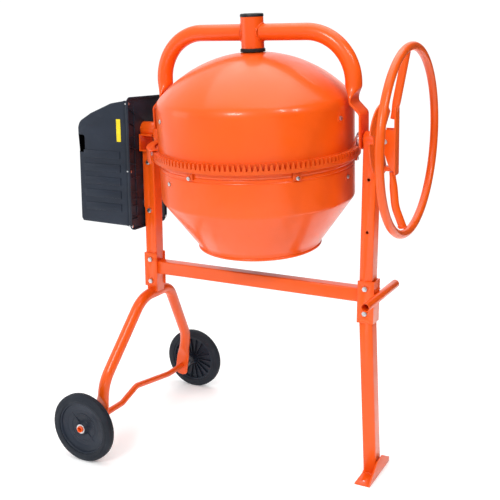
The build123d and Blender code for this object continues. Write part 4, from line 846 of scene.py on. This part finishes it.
REFINED = {
    "root": [
        ("left_post", 1.0), ("right_post", 1.0), ("leg", 1.0), ("foot", 1.2), ("cross_beam", 1.0),
        ("left_beam_bracket", 1.2), ("right_beam_bracket", 1.2), ("lift_handle", 0.6), ("frame_bolts", 0.8),
        ("wheel_spacers", 0.8), ("wheel_washers", 0.6), ("left_cradle", 1.2), ("left_bearing_housing", 0.9),
        ("right_bearing_housing", 0.9), ("lock_plate", 1.0), ("motor_plate", 1.0), ("motor_body", 1.5),
        ("box_inner_shell", 0.8), ("box_screws", 0.5), ("switch_housing", 1.0), ("power_inlet", 0.8),
    ],
    "yoke": [("left_trunnion", 0.6), ("right_trunnion", 0.8), ("gear_guard", 0.9), ("hub_pin", 0.6)],
    "drum": [("drum_shaft", 0.8), ("shaft_nut", 0.8), ("mixing_blades", 0.8), ("drum_bolts", 0.5)],
    "pinion": [("pinion", 0.5), ("pinion_shaft", 0.6), ("large_pulley", 0.8)],
    "rotor": [("motor_shaft", 0.5)],
    "hand_wheel": [("wheel_hub", 1.3), ("lock_tooth", 0.9)],
    "start_button": [("start_button", 0.5)],
    "stop_button": [("stop_button", 0.5)],
}
for body_name, rows in REFINED.items():
    for node_name, edge_width in rows:
        refine(node_name, edge_width, body_name)

# ---- camera ----
CAMERA_AT = Vector((1.17065, -2.1924, 1.2499))
VIEW_DOWN = math.radians(12.79)
VIEW_TURN = math.radians(27.47)
VIEW_ROLL = math.radians(-0.20)
camera_data = bpy.data.cameras.new("camera")
camera_data.lens = 59.0
camera_data.sensor_width = 36.0
camera_data.shift_x = 0.0058
camera_data.shift_y = -0.0252
camera = added("camera", camera_data)
camera.matrix_world = (
    Matrix.Translation(CAMERA_AT) @ Matrix.Rotation(VIEW_TURN, 4, "Z")
    @ Matrix.Rotation(math.pi / 2 - VIEW_DOWN, 4, "X") @ Matrix.Rotation(VIEW_ROLL, 4, "Z")
)
bpy.context.scene.camera = camera

# ---- studio ----
WHITE_LEVEL = 1.08
scene = bpy.context.scene
scene.view_settings.view_transform = "Standard"
world = bpy.data.worlds.new("studio")
world.use_nodes = True
sky = world.node_tree
sky_coords = sky.nodes.new("ShaderNodeTexCoord")


def sky_share(direction, start, end, first, last):
    """How bright the sky is along a direction: first below start, last above end."""
    along = sky.nodes.new("ShaderNodeVectorMath")
    along.operation = "DOT_PRODUCT"
    along.inputs[1].default_value = direction
    sky.links.new(sky_coords.outputs["Generated"], along.inputs[0])
    share = sky.nodes.new("ShaderNodeMapRange")
    share.inputs["From Min"].default_value = start
    share.inputs["From Max"].default_value = end
    share.inputs["To Min"].default_value = first
    share.inputs["To Max"].default_value = last
    sky.links.new(along.outputs["Value"], share.inputs["Value"])
    return share.outputs["Result"]


# White behind the machine, softer on the user's side and dark past the hand wheel, where the paint
# goes deep.
sky_level = sky.nodes.new("ShaderNodeMath")
sky_level.operation = "MULTIPLY"
sky.links.new(sky_share((0, 1, 0), -1.0, 0.6, 0.5, WHITE_LEVEL), sky_level.inputs[0])
sky.links.new(sky_share((0.887, 0.462, 0), 0.33, 0.5, 1.0, 0.06), sky_level.inputs[1])
sky.nodes["Background"].inputs["Color"].default_value = (0.99, 0.995, 1.0, 1)
# The backdrop itself is plain white; only the light that falls on the machine is graded.
backdrop = sky.nodes.new("ShaderNodeMix")
backdrop.data_type = "FLOAT"
sky.links.new(sky.nodes.new("ShaderNodeLightPath").outputs["Is Camera Ray"], backdrop.inputs["Factor"])
sky.links.new(sky_level.outputs["Value"], backdrop.inputs["A"])
backdrop.inputs["B"].default_value = WHITE_LEVEL
sky.links.new(backdrop.outputs["Result"], sky.nodes["Background"].inputs["Strength"])
scene.world = world

floor_mesh = bpy.data.meshes.new("floor")
FLOOR_HALF = 2.6
floor_mesh.from_pydata(
    [(-FLOOR_HALF, -FLOOR_HALF, 0), (FLOOR_HALF, -FLOOR_HALF, 0), (FLOOR_HALF, FLOOR_HALF, 0),
     (-FLOOR_HALF, FLOOR_HALF, 0)], [], [(0, 1, 2, 3)])
floor = added("floor", floor_mesh)
floor_paint, floor_tree, floor_bsdf = shader("floor", 0.75)
floor_tones = [(0.3, (0.95, 0.95, 0.95)), (0.7, (0.98, 0.98, 0.98))]
floor_tone = ramp(floor_tree, noise(floor_tree, 3, 3), floor_tones)
floor_tree.links.new(floor_tone, floor_bsdf.inputs["Base Color"])
floor_bsdf.inputs["Emission Color"].default_value = (1, 1, 1, 1)
floor_bsdf.inputs["Emission Strength"].default_value = 0.18
floor_mesh.materials.append(floor_paint)


def area_light(name, place, aim, power, width, height):
    data = bpy.data.lights.new(name, "AREA")
    data.shape = "RECTANGLE"
    data.energy = power
    data.size = width
    data.size_y = height
    light = added(name, data)
    light.location = place
    light.rotation_euler = (Vector(aim) - Vector(place)).to_track_quat("-Z", "Y").to_euler()


area_light("key", (0.2, -3.2, 2.6), (0.05, 0, 0.9), 52, 0.9, 0.7)
area_light("top", (0.0, 0.6, 4.2), (0.0, 0.3, 0), 85, 4.0, 4.0)
area_light("window_a", (2.2, -1.4, 2.9), (0.1, 0, 1.1), 14, 0.2, 0.7)
area_light("window_b", (2.7, -0.8, 2.7), (0.1, 0, 1.1), 14, 0.2, 0.7)
area_light("fill", (-3.2, -1.6, 1.4), (0, 0, 0.8), 12, 1.6, 1.8)
